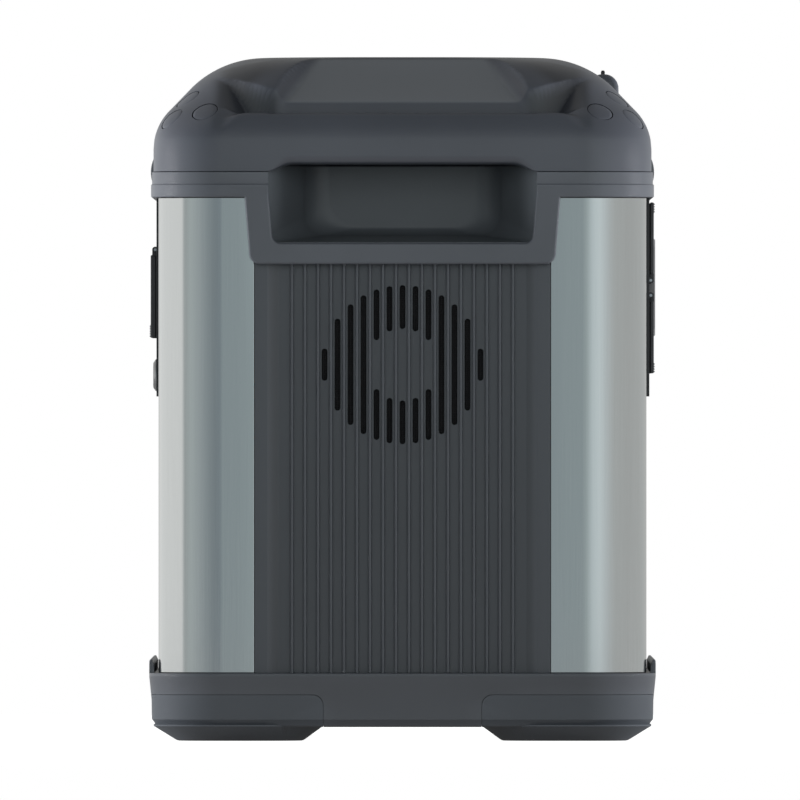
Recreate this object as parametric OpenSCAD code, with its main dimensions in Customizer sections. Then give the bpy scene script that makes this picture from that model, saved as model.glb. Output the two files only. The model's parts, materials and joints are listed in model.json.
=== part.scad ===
// Portable power station: aluminium body, plastic lid with two grab bars, rubber corner feet.
// Origin at the centre of the footprint, on the ground. +X along the length, -Y the control face, +Z up.

/* [Overall size] */
// Length over the grab bars
length = 420; // [400:2:440]
// Width over the collar under the lid
width = 281; // [270:1:292]
// Height from the ground to the top of the lid
height = 383.6; // [376:0.4:392]

/* [Body] */
// Outer corner radius of the aluminium wraps
wrap_r = 36; // [30:1:40]
// Thickness of the aluminium
wrap_t = 1.8; // [1.2:0.1:2.4]
// Half width of the ribbed end panels
panel_hw = 83; // [78:0.5:86]
// Number of fins on each end panel
fins = 18; // [10:2:22]
// Distance between fins
fin_pitch = 7.28; // [6:0.04:7.4]
// Height of the fan vent's centre
vent_z = 210.8; // [190:0.2:214]
// Outer radius of the fan vent
vent_r = 44.6; // [36:0.2:46]

/* [Lid] */
// Height of the seam between the lid and the collar
lid_z = 319; // [316:0.5:321]
// Height of the top of the grab bars
bar_top = 352; // [350:0.5:354]
// Diameter of the round screw caps
cap_d = 15; // [12:0.5:16]

/* [Flaps] */
// Length of each socket flap
flap_l = 98; // [90:1:100]
// Radius of the hinge pins
pin_r = 0.8; // [0.7:0.05:0.9]
// Radial clearance of pins and buttons in their bores
run_gap = 0.05; // [0.03:0.01:0.08]

/* [Hidden] */
$fn = 64;

// Shared dimensions, worked out from the driving ones
gap = 0.2;                       // assembly gap between neighbouring pieces
hl = length / 2;                 // half length over the bars
body_hl = hl - 5;                // half length of the aluminium body
body_hw = width / 2 - 3.6;       // half width of the aluminium body
lid_hw = width / 2 - 0.8;        // half width of the lid
tray_top = 38;                   // top edge of the tray, where the aluminium starts
collar_z = lid_z - 14.4;         // underside of the collar
frame_z = 267;                   // underside of the handle surround
recess_z = 279;                  // floor of the handle recess
bar_z = 323;                     // underside of the grab bar

// Front and rear fascias, all measured from the centre of the body
face = body_hw + 1.7;            // outer face
fascia_t = 5.5;                  // thickness
fascia_z = 193;                  // lower edge
fascia_hl = 160;                 // half length at the front
rear_hl = 90;                    // and at the rear
bank_x = 101;                    // centre of each socket bank
spine_z = 254;                   // middle of a bank, between its flaps
well_in = 9;                     // a bank's wells start this far from the spine
well_out = 42;                   // and end here

// Flaps and their hinges
axis_y = face + 0.9;             // hinge axes
axis_dz = 4.2;                   // hinge axis above or below the spine
flap_y = face + 0.5;             // inner face of a closed flap
flap_t = 2.1;                    // thickness of a flap's plate
flap_top = 302;                  // free edge of an upper flap
flap_low = 206;                  // free edge of a lower flap
knuckle_r = 1.75;
ear_r = 1.7;
ear_t = 2.8;
ear_out = 1.6;                   // an outer ear's centre beyond the flap's end
input_z = 275.8;                 // hinge axis of the rear flap
input_low = 226;                 // its free edge
input_hl = 60;

// Buttons
button_r = 6.5;
button_z = 213;
buttons_x = [-26, 0, 26];
reset_r = 9;
reset_x = -66;
reset_z = 205;

function arc(cy, cz, r, a, b, n) = [for (i = [0:n]) [cy + r * cos(a + (b - a) * i / n),
                                                     cz + r * sin(a + (b - a) * i / n)]];
// Shoulder of the lid from the flat top to the vertical side, outermost half extent w, shrunk by o.
shoulder_a = 46;
function shoulder(w, o) = let (r1 = 58.6 - o, r2 = 31.4 - o, low = height - 52.1)
    concat(arc(w - 62.7, height - 58.6, r1, 90, shoulder_a, 9), arc(w - 31.4, low, r2, shoulder_a, 0, 6));
// Plan corner radius of the lid where its shoulder has come in by d.
function corner_r(d) = 38 + 0.35 * d;

module rrect(hx, hy, r) {
    // Rounded rectangle from exact arcs, half sizes hx and hy.
    square([2 * hx - 2 * r, 2 * hy], center = true);
    square([2 * hx, 2 * hy - 2 * r], center = true);
    for (sx = [-1, 1], sy = [-1, 1])
        translate([sx * (hx - r), sy * (hy - r)]) circle(r);
}

module slab(z0, z1, hx, hy, r) {
    translate([0, 0, z0]) linear_extrude(z1 - z0) rrect(hx, hy, r);
}

module box(x0, x1, y0, y1, z0, z1) {
    translate([x0, y0, z0]) cube([x1 - x0, y1 - y0, z1 - z0]);
}

// A profile given in (y, z), extruded along X from x0 to x1.
module along_x(x0, x1) {
    translate([x0, 0, 0]) rotate([90, 0, 90]) linear_extrude(x1 - x0) children();
}

// A profile given in (x, z), extruded along Y from y0 to y1.
module along_y(y0, y1) {
    translate([0, y1, 0]) rotate([90, 0, 0]) linear_extrude(y1 - y0) children();
}

module rod_x(x0, x1, y, z, r) {
    translate([x0, y, z]) rotate([0, 90, 0]) cylinder(h = x1 - x0, r = r);
}

module rod_y(y0, y1, x, z, r) {
    translate([x, y1, z]) rotate([90, 0, 0]) cylinder(h = y1 - y0, r = r);
}

module both_ends() {
    children();
    mirror([1, 0, 0]) children();
}

module four_corners() {
    both_ends() {
        children();
        mirror([0, 1, 0]) children();
    }
}

// ---- Base ----

tray_hl = hl + 1.5;
tray_hw = width / 2 + 1.6;
tray_r = 41;
tray_z = 7.8;                    // underside of the tray
tray_wall = 11;
lip_top = 45.4;                  // top of the raised lips
lip_t = 2.8;
lip_hl = 170;
foot_in_x = 116;                 // where a foot starts along the length
foot_in_y = 44.5;                // and along the width
foot_top = 25.8;
foot_t = 4;                      // thickness of a foot's skirt
sole_x = 162;                    // centre of a foot's sole
sole_y = 91;
sole_h = 7.6;                    // height of the sole block under the tray
screw_r = 1.95;

module foot_block(grow) {
    intersection() {
        box(foot_in_x - grow, length, foot_in_y - grow, width, -1, foot_top + grow);
        slab(-1, foot_top + grow, tray_hl + grow, tray_hw + grow, tray_r);
    }
}

module at_soles() {
    four_corners() translate([sole_x, sole_y, 0]) children();
}

module base_tray() {
    color([0.25, 0.26, 0.28]) {
        difference() {
            slab(tray_z, tray_top, tray_hl, tray_hw, tray_r);
            slab(tray_z + 3.2, tray_top + 1, tray_hl - tray_wall, tray_hw - tray_wall, tray_r - tray_wall);
            four_corners() difference() {
                foot_block(gap);
                slab(tray_z + gap, foot_top + 1, tray_hl - foot_t, tray_hw - foot_t, tray_r - foot_t);
            }
            at_soles() cylinder(h = 20, r = screw_r + 0.15);
        }
        // Raised lips along both long sides
        difference() {
            slab(tray_top, lip_top, tray_hl, tray_hw, tray_r);
            slab(tray_top - 1, lip_top + 1, tray_hl + 1, tray_hw - lip_t, tray_r - lip_t);
            both_ends() box(-length, -lip_hl, -width, width, tray_top - 1, lip_top + 1);
        }
    }
}

module corner_feet() {
    skirt_in = foot_t - gap;
    color([0.22, 0.23, 0.25]) difference() {
        four_corners() {
            // Skirt round the corner, the sole under it and the rim that joins them
            intersection() {
                foot_block(0);
                difference() {
                    slab(tray_z, foot_top, tray_hl, tray_hw, tray_r);
                    slab(0, foot_top + 1, tray_hl - skirt_in, tray_hw - skirt_in, tray_r - foot_t);
                }
            }
            hull() {
                slab_at(sole_x + 1, sole_y + 1, 6, sole_h, 46.5, 47.5, 34, $fn = 32);
                slab_at(sole_x, sole_y, 0, 1, 34, 34.5, 20, $fn = 32);
            }
            intersection() {
                foot_block(0);
                difference() {
                    slab(6, tray_z + gap, tray_hl - 0.4, tray_hw - 0.4, tray_r);
                    slab(0, 20, tray_hl - 14, tray_hw - 14, 28);
                }
            }
        }
        at_soles() translate([0, 0, -1]) cylinder(h = 4, r = 5);
        at_soles() translate([0, 0, -1]) cylinder(h = 20, r = 2.6);
    }
}

module slab_at(x, y, z0, z1, hx, hy, r) {
    translate([x, y, 0]) slab(z0, z1, hx, hy, r);
}

module foot_screws() {
    color([0.55, 0.56, 0.58]) at_soles() {
        difference() {
            translate([0, 0, 0.8]) cylinder(h = 2.2, r = 4.4);
            cylinder(h = 2.2, r = 2.2, $fn = 6);
        }
        translate([0, 0, 3]) cylinder(h = 12, r = screw_r);
    }
}

// ---- Body ----

notch_d = 8;                     // depth of the cut that clears a wrap's wall for its fascia

module wrap_ring() {
    difference() {
        slab(tray_top + gap, collar_z - gap, body_hl, body_hw, wrap_r);
        slab(0, height, body_hl - wrap_t, body_hw - wrap_t, wrap_r - wrap_t);
        box(-hl, hl, -panel_hw - gap / 2, panel_hw + gap / 2, 0, height);
    }
}

module front_wrap() {
    color([0.62, 0.65, 0.66]) difference() {
        wrap_ring();
        box(-hl, hl, 0, width, 0, height);
        box(-fascia_hl - gap, fascia_hl + gap, -width, -body_hw + notch_d, fascia_z - gap, height);
    }
}

module rear_wrap() {
    color([0.62, 0.65, 0.66]) difference() {
        wrap_ring();
        box(-hl, hl, -width, 0, 0, height);
        box(-rear_hl - gap, rear_hl + gap, body_hw - notch_d, width, fascia_z - gap, height);
    }
}

slot_hw = 1.65;                  // half width of a vent slot
blank_r = 20;                    // blank over the fan hub
module slot(y, z0, z1) {
    box(-2, 13, y - slot_hw, y + slot_hw, vent_z + z0, vent_z + z1);
}

module vent_slots() {
    // Upright slots between the fins, clipped to the vent circle, with a blank in the middle.
    last = floor(vent_r / fin_pitch);
    for (i = [-last : last]) {
        y = i * fin_pitch;
        half = sqrt(vent_r * vent_r - y * y);
        hub = abs(y) < blank_r ? sqrt(blank_r * blank_r - y * y) : 0;
        slot(y, hub, half);
        slot(y, -half, -hub);
    }
}

border_hw = 75.5;                // inner edge of the flat border
field_hw = 69.4;                 // the recessed field, past the bevel
field_d = 3;                     // depth of the field
skin = 5.4;                      // thickness of the panel behind its border
fin_hw = 1;
flange = 5;                      // how far the panel reaches behind the wraps

module end_panel() {
    // At the -X end: border, bevel, recessed field and upright fins.
    top = recess_z - 2.4;
    low = tray_top + gap;
    color([0.25, 0.27, 0.29]) difference() {
        union() {
            box(-body_hl, -body_hl + 8, -panel_hw, panel_hw, low, top);
            box(-body_hl + 3, -body_hl + 5, -panel_hw - flange, panel_hw + flange, 60, 250);
        }
        translate([0, 0, low - 1]) linear_extrude(top - low + 2)
            polygon([[-hl, -border_hw], [-body_hl, -border_hw], [-body_hl + field_d, -field_hw],
                     [-body_hl + field_d, field_hw], [-body_hl, border_hw], [-hl, border_hw]]);
        box(-body_hl + skin, -body_hl + 9, -78, 78, low - 1, top + 1);
        translate([-body_hl, 0, 0]) vent_slots();
    }
    color([0.28, 0.3, 0.31]) for (i = [0 : fins - 1]) {
        y = (i - (fins - 1) / 2) * fin_pitch;
        box(-body_hl + 0.6, -body_hl + field_d, y - fin_hw, y + fin_hw, low, top);
    }
}

module left_end_panel() {
    end_panel();
}

module right_end_panel() {
    mirror([1, 0, 0]) end_panel();
}

// ---- Collar and handles ----

cup_hw = 75.3;                   // half width of the recess mouth
cup_back = 46;                   // half width of its back wall
cup_d = 47;                      // depth of the recess
cup_t = 2;
ring_w = 14;                     // width of the collar's ring
frame_r = 6.5;                   // lower corners of the handle surround

module surround_outline() {
    difference() {
        union() {
            polygon([[-88.8, collar_z + 2], [-86, 275], [-86, frame_z + frame_r], [-86 + frame_r, frame_z],
                     [86 - frame_r, frame_z], [86, frame_z + frame_r], [86, 275], [88.8, collar_z + 2]]);
            for (s = [-1, 1]) translate([s * (86 - frame_r), frame_z + frame_r]) circle(frame_r);
        }
        polygon([[-cup_hw, height], [-73, 285], [-73, recess_z + 4.5], [-68.5, recess_z],
                 [68.5, recess_z], [73, recess_z + 4.5], [73, 285], [cup_hw, height]]);
    }
}

module collar() {
    color([0.3, 0.32, 0.34]) {
        difference() {
            slab(collar_z, lid_z - gap, hl + 0.5, width / 2, 39.5);
            slab(0, height, hl - ring_w, width / 2 - ring_w, 40 - ring_w);
            both_ends() box(-hl - 2, -hl + 20, -cup_hw - 0.6, cup_hw + 0.6, 0, height);
            gasket_ring(0);
            // Shadow groove round the ring
            difference() {
                slab(311.6, 312.4, hl + 2, width, 39.5);
                slab(311, 313, hl, width / 2 - 0.5, 39);
            }
        }
        both_ends() intersection() {
            along_x(-hl - 0.5, -body_hl - gap) surround_outline();
            box(-hl - 1, 0, -120, 120, 0, lid_z - gap);
        }
    }
}

module cup_solid(o) {
    // Tapering recess at the -X end, grown outwards by o.
    top = lid_z + 4;
    hull() {
        box(-body_hl - 3, -body_hl, -cup_hw + 2 - o, cup_hw - 2 + o, recess_z + 0.6 - o, top);
        box(-body_hl + cup_d - 6, -body_hl + cup_d + o, -cup_back - o, cup_back + o, recess_z + 10 - o, top);
    }
}

module handle_cups() {
    color([0.22, 0.24, 0.25]) both_ends() intersection() {
        difference() {
            cup_solid(cup_t);
            cup_solid(0);
        }
        box(-body_hl, 0, -width, width, 0, lid_z - gap);
    }
}

module scoop_cut() {
    // Hand scoop behind the bar, from above: wide at the bar, narrower at its back wall.
    hull() {
        box(-hl + 11, -hl + 20, -74, 74, bar_top, bar_top + 1);
        box(-hl + 20, -hl + 30, -64, 64, bar_top - 1, bar_top);
        box(-hl + 5, -hl + 12, -82, 82, height, height + 5);
        box(-hl + 56, -hl + 60, -62, 62, height, height + 5);
    }
}

lid_t = 3.2;                     // wall of the lid
cap_t = 2.1;                     // how far a screw cap is let into the lid
module lid_form(o) {
    // Domed outer form of the lid, shrunk by o: rounded rectangles stacked up the shoulder profile,
    // with corners that open out as they rise.
    hull() {
        slab(lid_z, height - 52.1, hl - o, lid_hw - o, corner_r(0), $fn = 32);
        for (p = shoulder(0, o))
            slab(p[1] - 1, p[1], hl + p[0], lid_hw + p[0], corner_r(-p[0]), $fn = 32);
    }
}

module cap_places(r, h, lift) {
    // Three screw caps at each corner: [x, y, z, heading, rise of the axis above level].
    for (p = [[196, 111, 352.9, 30, 43], [169.2, 120.7, 360, 66, 46], [183, 130, 349, 63, 34]])
        translate([p[0], p[1], p[2]]) rotate([0, 0, p[3]]) rotate([0, 90 - p[4], 0])
            translate([0, 0, lift]) cylinder(h = h, r = r);
}

module top_cover() {
    color([0.3, 0.31, 0.33]) difference() {
        lid_form(0);
        difference() {
            // Hollow inside, left solid round the bars and the screws
            lid_form(lid_t);
            both_ends() box(-hl - 1, -hl + 64, -86, 86, 0, height);
            four_corners() cap_places(11, 20, -14);
        }
        both_ends() {
            // Ledge behind the bar, the scoop and the finger pocket under the bar
            box(-hl - 1, -hl + 17, -96, 96, bar_top, height);
            scoop_cut();
            box(-hl + 22, -hl + 50, -60, 60, lid_z - 1, 343);
            box(-hl - 1, -hl + 23, -cup_hw, cup_hw, lid_z - 1, bar_z);
        }
        four_corners() cap_places(cap_d / 2 + 0.15, 14, -cap_t - 0.1);
        four_corners() cap_places(2.3, 30, -20);
        pod_seat(gap);
    }
}

module gasket_ring(o) {
    // Seal groove in the top of the collar, shrunk by o for the seal itself.
    difference() {
        slab(lid_z - 2.4 + o, lid_z - o / 2, hl - 6 - o, width / 2 - 6.5 - o, 33 - o);
        slab(0, height, hl - 9 + o, width / 2 - 9.5 + o, 30 + o);
    }
}

module lid_gasket() {
    color([0.12, 0.12, 0.13]) difference() {
        gasket_ring(0.1);
        both_ends() box(-hl - 2, -hl + 20, -cup_hw - 1, cup_hw + 1, 0, height);
    }
}

module screw_caps() {
    color([0.27, 0.28, 0.3]) four_corners() cap_places(cap_d / 2, cap_t + 0.1, -cap_t);
}

module case_screws() {
    color([0.5, 0.5, 0.52]) four_corners() cap_places(2.2, 8, -12);
}

module side_clips() {
    // Lens section over the seam, on both long sides.
    r = 19;
    half_a = 22;
    color([0.2, 0.21, 0.22]) for (s = [0, 1])
        mirror([0, s, 0]) along_x(-45, 45)
            polygon(arc(width / 2 + 1.6 - r, lid_z + 0.5, r, half_a, -half_a, 12));
}

pod_x = -70;                     // centre of the pod along the length
pod_y = -113;                    // the switch's slot
pod_floor = 372.2;
module pod_seat(o) {
    hull() {
        box(pod_x - 15 - o, pod_x + 15 + o, -121 - o, -109 + o, bar_top, 371 + o);
        box(pod_x - 13 - o, pod_x + 13 + o, -119 - o, -108 + o, bar_top, 374.6 + o);
    }
}

module shoulder_pod() {
    color([0.26, 0.27, 0.28]) difference() {
        pod_seat(0);
        box(pod_x - 7.3, pod_x + 7.3, pod_y - 1.2, pod_y + 1.2, pod_floor, height);
    }
}

module pod_switch() {
    color([0.2, 0.2, 0.21]) box(pod_x - 4, pod_x + 4, pod_y - 1.1, pod_y + 1.1, pod_floor + 0.1, 376.8);
}

// ---- Front ----

channel_d = 2.4;                 // depth of the channel that a hinge line lies in

module bank_wells() {
    // Openings of one socket bank and the channel for its hinge line.
    well_hl = flap_l / 2 - 6;
    box(-well_hl, well_hl, -width, 0, spine_z + well_in, spine_z + well_out);
    box(-well_hl, well_hl, -width, 0, spine_z - well_out, spine_z - well_in);
    box(-flap_l / 2 - 3, flap_l / 2 + 3, -width, -face + channel_d, spine_z - 7.2, spine_z + 7.2);
}

module ears(hl_flap, z) {
    // Three ears hold a hinge pin on the -Y side, at its ends and in the middle.
    for (x = [-hl_flap - ear_out, 0, hl_flap + ear_out])
        difference() {
            union() {
                rod_x(x - ear_t / 2, x + ear_t / 2, -axis_y, z, ear_r);
                box(x - ear_t / 2, x + ear_t / 2, -axis_y, -face + 3, z - ear_r, z + ear_r);
            }
            rod_x(x - 2, x + 2, -axis_y, z, pin_r + 0.02);
        }
}

module fascia_plate(half_l) {
    // Proud plate with a flange that reaches behind the wrap, on the -Y side.
    box(-half_l, half_l, -face, -face + fascia_t, fascia_z, collar_z - gap);
    box(-half_l - 8, half_l + 8, -body_hw + wrap_t + gap, -face + fascia_t, fascia_z - 8, collar_z - gap);
}

module front_fascia() {
    color([0.2, 0.2, 0.21]) {
        difference() {
            fascia_plate(fascia_hl);
            for (x = [-bank_x, bank_x]) translate([x, 0, 0]) bank_wells();
            box(-40, 40, -width, 0, display_low - 4, display_top + 4);
            for (x = buttons_x) rod_y(-width, 0, x, button_z, button_r + run_gap);
        }
        for (x = [-bank_x, bank_x], s = [-1, 1])
            translate([x, 0, 0]) ears(flap_l / 2, spine_z + s * axis_dz);
    }
}

display_hl = 46;                 // half length of the bezel
window_hl = 38;                  // and of its window
display_low = 235;               // window
display_top = 274;
bezel_w = 8;
bezel_t = 4.1;
chamfer = 4;

module display_bezel() {
    low = display_low - bezel_w;
    top = display_top + bezel_w;
    color([0.32, 0.32, 0.33]) difference() {
        along_y(-face - bezel_t, -face - 0.1)
            polygon([[-display_hl, low + chamfer], [-display_hl + chamfer, low], [display_hl - chamfer, low],
                     [display_hl, low + chamfer], [display_hl, top - chamfer], [display_hl - chamfer, top],
                     [-display_hl + chamfer, top], [-display_hl, top - chamfer]]);
        box(-window_hl, window_hl, -width, 0, display_low, display_top);
    }
}

module display_lens() {
    color([0.05, 0.06, 0.07])
        box(-window_hl + gap, window_hl - gap, -face - 3.2, -face - 0.6,
            display_low + gap, display_top - gap);
}

module display_board() {
    color([0.1, 0.3, 0.16]) {
        box(-39, 39, -face + 7, -face + 8.6, display_low - 3, display_top + 3);
        box(-36, 36, -face + 0.5, -face + 7, display_low + 1, display_top - 1);
    }
}

module socket_tile(w, h, y) {
    box(-w / 2, w / 2, y, y + 12, -h / 2, h / 2);
}

socket_y = -face + 6;            // front of the recessed sockets
row_z = 25.5;                    // rows of sockets above and below the spine
module ac_sockets() {
    // Two rows of three earthed outlets.
    color([0.13, 0.13, 0.14]) for (x = [-28, 0, 28], s = [-1, 1])
        translate([bank_x + x, 0, spine_z + s * row_z]) difference() {
            socket_tile(26, 30, socket_y);
            for (b = [-1, 1]) box(b * 6.3 - 0.9, b * 6.3 + 0.9, -width, socket_y + 9, -1, 7);
            rod_y(-width, socket_y + 9, 0, -7.5, 2.5);
        }
}

module dc_sockets() {
    color([0.13, 0.13, 0.14]) for (x = [-30, -10, 10, 30])
        translate([-bank_x + x, 0, spine_z - row_z]) difference() {
            socket_tile(16, 26, socket_y);
            rod_y(-width, socket_y + 9, 0, 0, 2.9);
        }
}

module usb_ports() {
    color([0.13, 0.13, 0.14]) for (x = [-34, -18, -2])
        translate([-bank_x + x, 0, spine_z + row_z]) difference() {
            socket_tile(14, 26, socket_y);
            box(-6.2, 6.2, -width, socket_y + 9, 3, 8);
            box(-4.5, 4.5, -width, socket_y + 9, -7, -4);
        }
}

module car_socket() {
    color([0.13, 0.13, 0.14]) translate([-bank_x + 25, 0, spine_z + row_z]) difference() {
        union() {
            socket_tile(30, 30, socket_y);
            rod_y(socket_y, socket_y + 42, 0, 0, 13);
        }
        rod_y(-width, socket_y + 38, 0, 0, 10.6);
    }
}

module bank_flap(s) {
    // s is 1 for the upper flap and -1 for the lower one: plate, knuckles, knurled grip, plug rim.
    far = (s > 0 ? flap_top : flap_low) - spine_z;
    near = s * (axis_dz + 3);
    color([0.2, 0.2, 0.21]) difference() {
        union() {
            box(-flap_l / 2, flap_l / 2, -flap_y - flap_t, -flap_y, min(near, far), max(near, far));
            for (e = [-1, 1]) {
                x0 = e > 0 ? 3 : -flap_l / 2 + 1;
                rod_x(x0, x0 + flap_l / 2 - 4, -axis_y, s * axis_dz, knuckle_r);
                box(x0, x0 + flap_l / 2 - 4, -flap_y - flap_t, -flap_y,
                    min(s * axis_dz, near), max(s * axis_dz, near));
            }
            // Knurled grip along the free edge
            for (k = [0:3])
                rod_x(-flap_l / 2 + 8, flap_l / 2 - 8, -flap_y - flap_t, far - s * (1 + 1.4 * k), 0.55);
        }
        for (e = [-1, 1]) rod_x(-flap_l, flap_l, -axis_y, s * axis_dz, pin_r + run_gap);
    }
}

module ac_flap_upper() {
    translate([bank_x, 0, spine_z]) bank_flap(1);
}

module ac_flap_lower() {
    translate([bank_x, 0, spine_z]) bank_flap(-1);
}

module dc_flap_upper() {
    translate([-bank_x, 0, spine_z]) bank_flap(1);
}

module dc_flap_lower() {
    translate([-bank_x, 0, spine_z]) bank_flap(-1);
}

module flap_pins() {
    color([0.7, 0.7, 0.72]) for (x = [-bank_x, bank_x], s = [-1, 1])
        rod_x(x - flap_l / 2 - 3, x + flap_l / 2 + 3, -axis_y, spine_z + s * axis_dz, pin_r);
}

module front_button(x) {
    color([0.35, 0.36, 0.37]) {
        rod_y(-face - 1.2, -face + 4, x, button_z, button_r);
        rod_y(-face + 4, -face + 7.2, x, button_z, 3);
        rod_y(-face + 7.2, -face + 8.4, x, button_z, button_r + 1.5);
    }
}

module power_button() {
    front_button(buttons_x[1]);
}

module ac_button() {
    front_button(buttons_x[2]);
}

module dc_button() {
    front_button(buttons_x[0]);
}

// ---- Rear ----

module rear_fascia() {
    color([0.2, 0.2, 0.21]) mirror([0, 1, 0]) {
        difference() {
            fascia_plate(rear_hl);
            box(-input_hl + 6, input_hl - 6, -width, 0, input_low + 8, input_z - 8);
            box(-input_hl - 3, input_hl + 3, -width, -face + channel_d, input_z - 4, input_z + 3);
            rod_y(-width, 0, reset_x, reset_z, reset_r + run_gap);
        }
        ears(input_hl, input_z);
    }
}

module input_flap() {
    color([0.2, 0.2, 0.21]) difference() {
        union() {
            box(-input_hl, input_hl, flap_y, flap_y + 3, input_low, input_z - 3);
            for (e = [-1, 1]) {
                x0 = e > 0 ? 3 : -input_hl + 1;
                rod_x(x0, x0 + input_hl - 4, axis_y, input_z, knuckle_r);
                box(x0, x0 + input_hl - 4, flap_y, flap_y + flap_t, input_z - 3, input_z);
            }
            for (k = [0:4]) rod_x(-input_hl + 8, input_hl - 8, flap_y + 3, input_low + 1.2 + 1.4 * k, 0.6);
        }
        rod_x(-input_hl - 5, input_hl + 5, axis_y, input_z, pin_r + run_gap);
    }
}

module input_flap_pin() {
    color([0.7, 0.7, 0.72]) rod_x(-input_hl - 3, input_hl + 3, axis_y, input_z, pin_r);
}

module reset_button() {
    color([0.53, 0.53, 0.53]) {
        rod_y(face - 4, face + 2, reset_x, reset_z, reset_r);
        rod_y(face - 12, face - 4, reset_x, reset_z, 5);
    }
}

module ac_inlet() {
    color([0.13, 0.13, 0.14]) translate([28, 0, 251]) difference() {
        box(-14, 14, face - 24, face - 6, -11, 11);
        box(-10, 10, face - 18, width, -7, 7);
    }
}

module dc_inlet() {
    color([0.13, 0.13, 0.14]) translate([-24, 0, 251]) difference() {
        box(-16, 16, face - 24, face - 6, -9, 9);
        for (s = [-1, 1]) rod_y(face - 18, width, s * 6.5, 0, 4.5);
    }
}

// ---- Inside ----

cells = 8;                       // cells in a row
cell_t = 27;
cell_pitch = 28.2;
cell_w = 98;
cell_h = 148;
cell_z = 19;
deck_z = 190;                    // deck over the battery
deck_hl = 150;
deck_hw = 112;
post_x = 135;

module chassis_frame() {
    color([0.5, 0.52, 0.54]) difference() {
        union() {
            box(-184, 184, -deck_hw, deck_hw, 16, 17.5);
            box(-deck_hl, deck_hl, -deck_hw, deck_hw, deck_z, deck_z + 1.5);
            for (x = [-post_x, post_x], y = [2 - deck_hw, deck_hw - 2])
                box(x - 8, x + 8, y - 1.5, y + 1.5, 16, deck_z + 1);
        }
        for (x = [-100 : 40 : 100]) translate([x, 0, deck_z - 1]) cylinder(h = 5, r = 11);
    }
}

module each_cell() {
    for (i = [0 : cells - 1], s = [-1, 1])
        translate([(i - (cells - 1) / 2) * cell_pitch, s * row_y, cell_z]) children();
}

row_y = cell_w / 2 + 1.2;        // centre of a row of cells
terminal_y = 28;                 // a cell's terminals, from its middle

module battery_cells() {
    color([0.16, 0.32, 0.55]) each_cell() {
        box(-cell_t / 2, cell_t / 2, -cell_w / 2, cell_w / 2, 0, cell_h);
        for (s = [-1, 1]) translate([0, s * terminal_y, cell_h]) cylinder(h = 2, r = 6);
    }
}

pack_hl = cells * cell_pitch / 2 + 0.6;
module cell_end_plates() {
    color([0.66, 0.68, 0.7]) both_ends()
        box(-pack_hl - 5, -pack_hl, -100, 100, cell_z + 4, cell_z + cell_h - 2);
}

module cell_straps() {
    color([0.6, 0.61, 0.62]) for (z = [cell_z + 30, cell_z + 110])
        difference() {
            slab(z, z + 14, pack_hl + 6.4, 102.6, 3);
            slab(z - 1, z + 15, pack_hl + 5.4, 101.6, 2);
        }
}

module cell_busbars() {
    // Links across neighbouring cells, alternating between the two terminal lines of each row.
    color([0.8, 0.62, 0.35]) for (s = [-1, 1], i = [0 : cells - 2])
        translate([(i + 1 - cells / 2) * cell_pitch, s * row_y + (i % 2 == 0 ? terminal_y : -terminal_y),
                   cell_z + cell_h + 2.1])
            box(-20, 20, -5.5, 5.5, 0, 1.6);
}

module board(x0, x1, y0, y1, z, parts) {
    // Circuit board with blocks on it, each given as [x, y, length, width, height].
    box(x0, x1, y0, y1, z, z + 1.6);
    for (p = parts)
        box(p[0] - p[2] / 2, p[0] + p[2] / 2, p[1] - p[3] / 2, p[1] + p[3] / 2, z + 1.5, z + p[4]);
}

module battery_board() {
    color([0.1, 0.3, 0.16]) board(-70, 70, -45, 45, 177,
        [[-40, 0, 30, 60, 6], [10, 20, 22, 16, 5], [10, -20, 22, 16, 5], [50, 0, 14, 50, 8]]);
}

module inverter_board() {
    color([0.1, 0.3, 0.16]) board(-140, 50, -95, 95, 199,
        [[-120, 0, 16, 120, 14], [-20, 70, 60, 20, 10], [36, -70, 24, 24, 18], [30, 0, 20, 60, 8]]);
}

module inverter_heatsink() {
    color([0.66, 0.68, 0.7]) {
        box(-110, 20, -60, 60, 214, 219);
        for (y = [-57 : 6 : 57]) box(-110, 20, y - 0.8, y + 0.8, 218.9, 250);
    }
}

module transformer() {
    color([0.72, 0.5, 0.2]) for (y = [-62, 62])
        translate([98, y, deck_z + 2]) difference() {
            cylinder(h = 34, r = 32);
            translate([0, 0, -1]) cylinder(h = 36, r = 11);
        }
}

module capacitors() {
    color([0.18, 0.2, 0.28]) for (i = [0:4]) translate([-96 + i * 26, -79, 201]) cylinder(h = 36, r = 11);
}

module charge_board() {
    color([0.1, 0.3, 0.16]) board(64, 140, -26, 26, 240, [[90, 0, 30, 30, 22], [124, 0, 16, 36, 14]]);
}

fan_x = -body_hl + 34;           // inner face of the -X fan
fan_hub = 19;
module fan_frame() {
    color([0.12, 0.12, 0.13]) difference() {
        box(fan_x - 25, fan_x, -46, 46, vent_z - 46, vent_z + 46);
        rod_x(fan_x - 26, fan_x + 1, 0, vent_z, 44);
        for (sy = [-1, 1], sz = [-1, 1]) rod_x(fan_x - 26, fan_x + 1, sy * 41.3, vent_z + sz * 41.3, 2.2);
    }
    // Four struts carry the motor base and its shaft
    color([0.12, 0.12, 0.13]) difference() {
        union() {
            box(fan_x - 4, fan_x, -44.5, 44.5, vent_z - 2, vent_z + 2);
            box(fan_x - 4, fan_x, -2, 2, vent_z - 44.5, vent_z + 44.5);
            rod_x(fan_x - 4, fan_x, 0, vent_z, 18);
            rod_x(fan_x - 20, fan_x - 3.9, 0, vent_z, 2);
        }
    }
}

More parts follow.
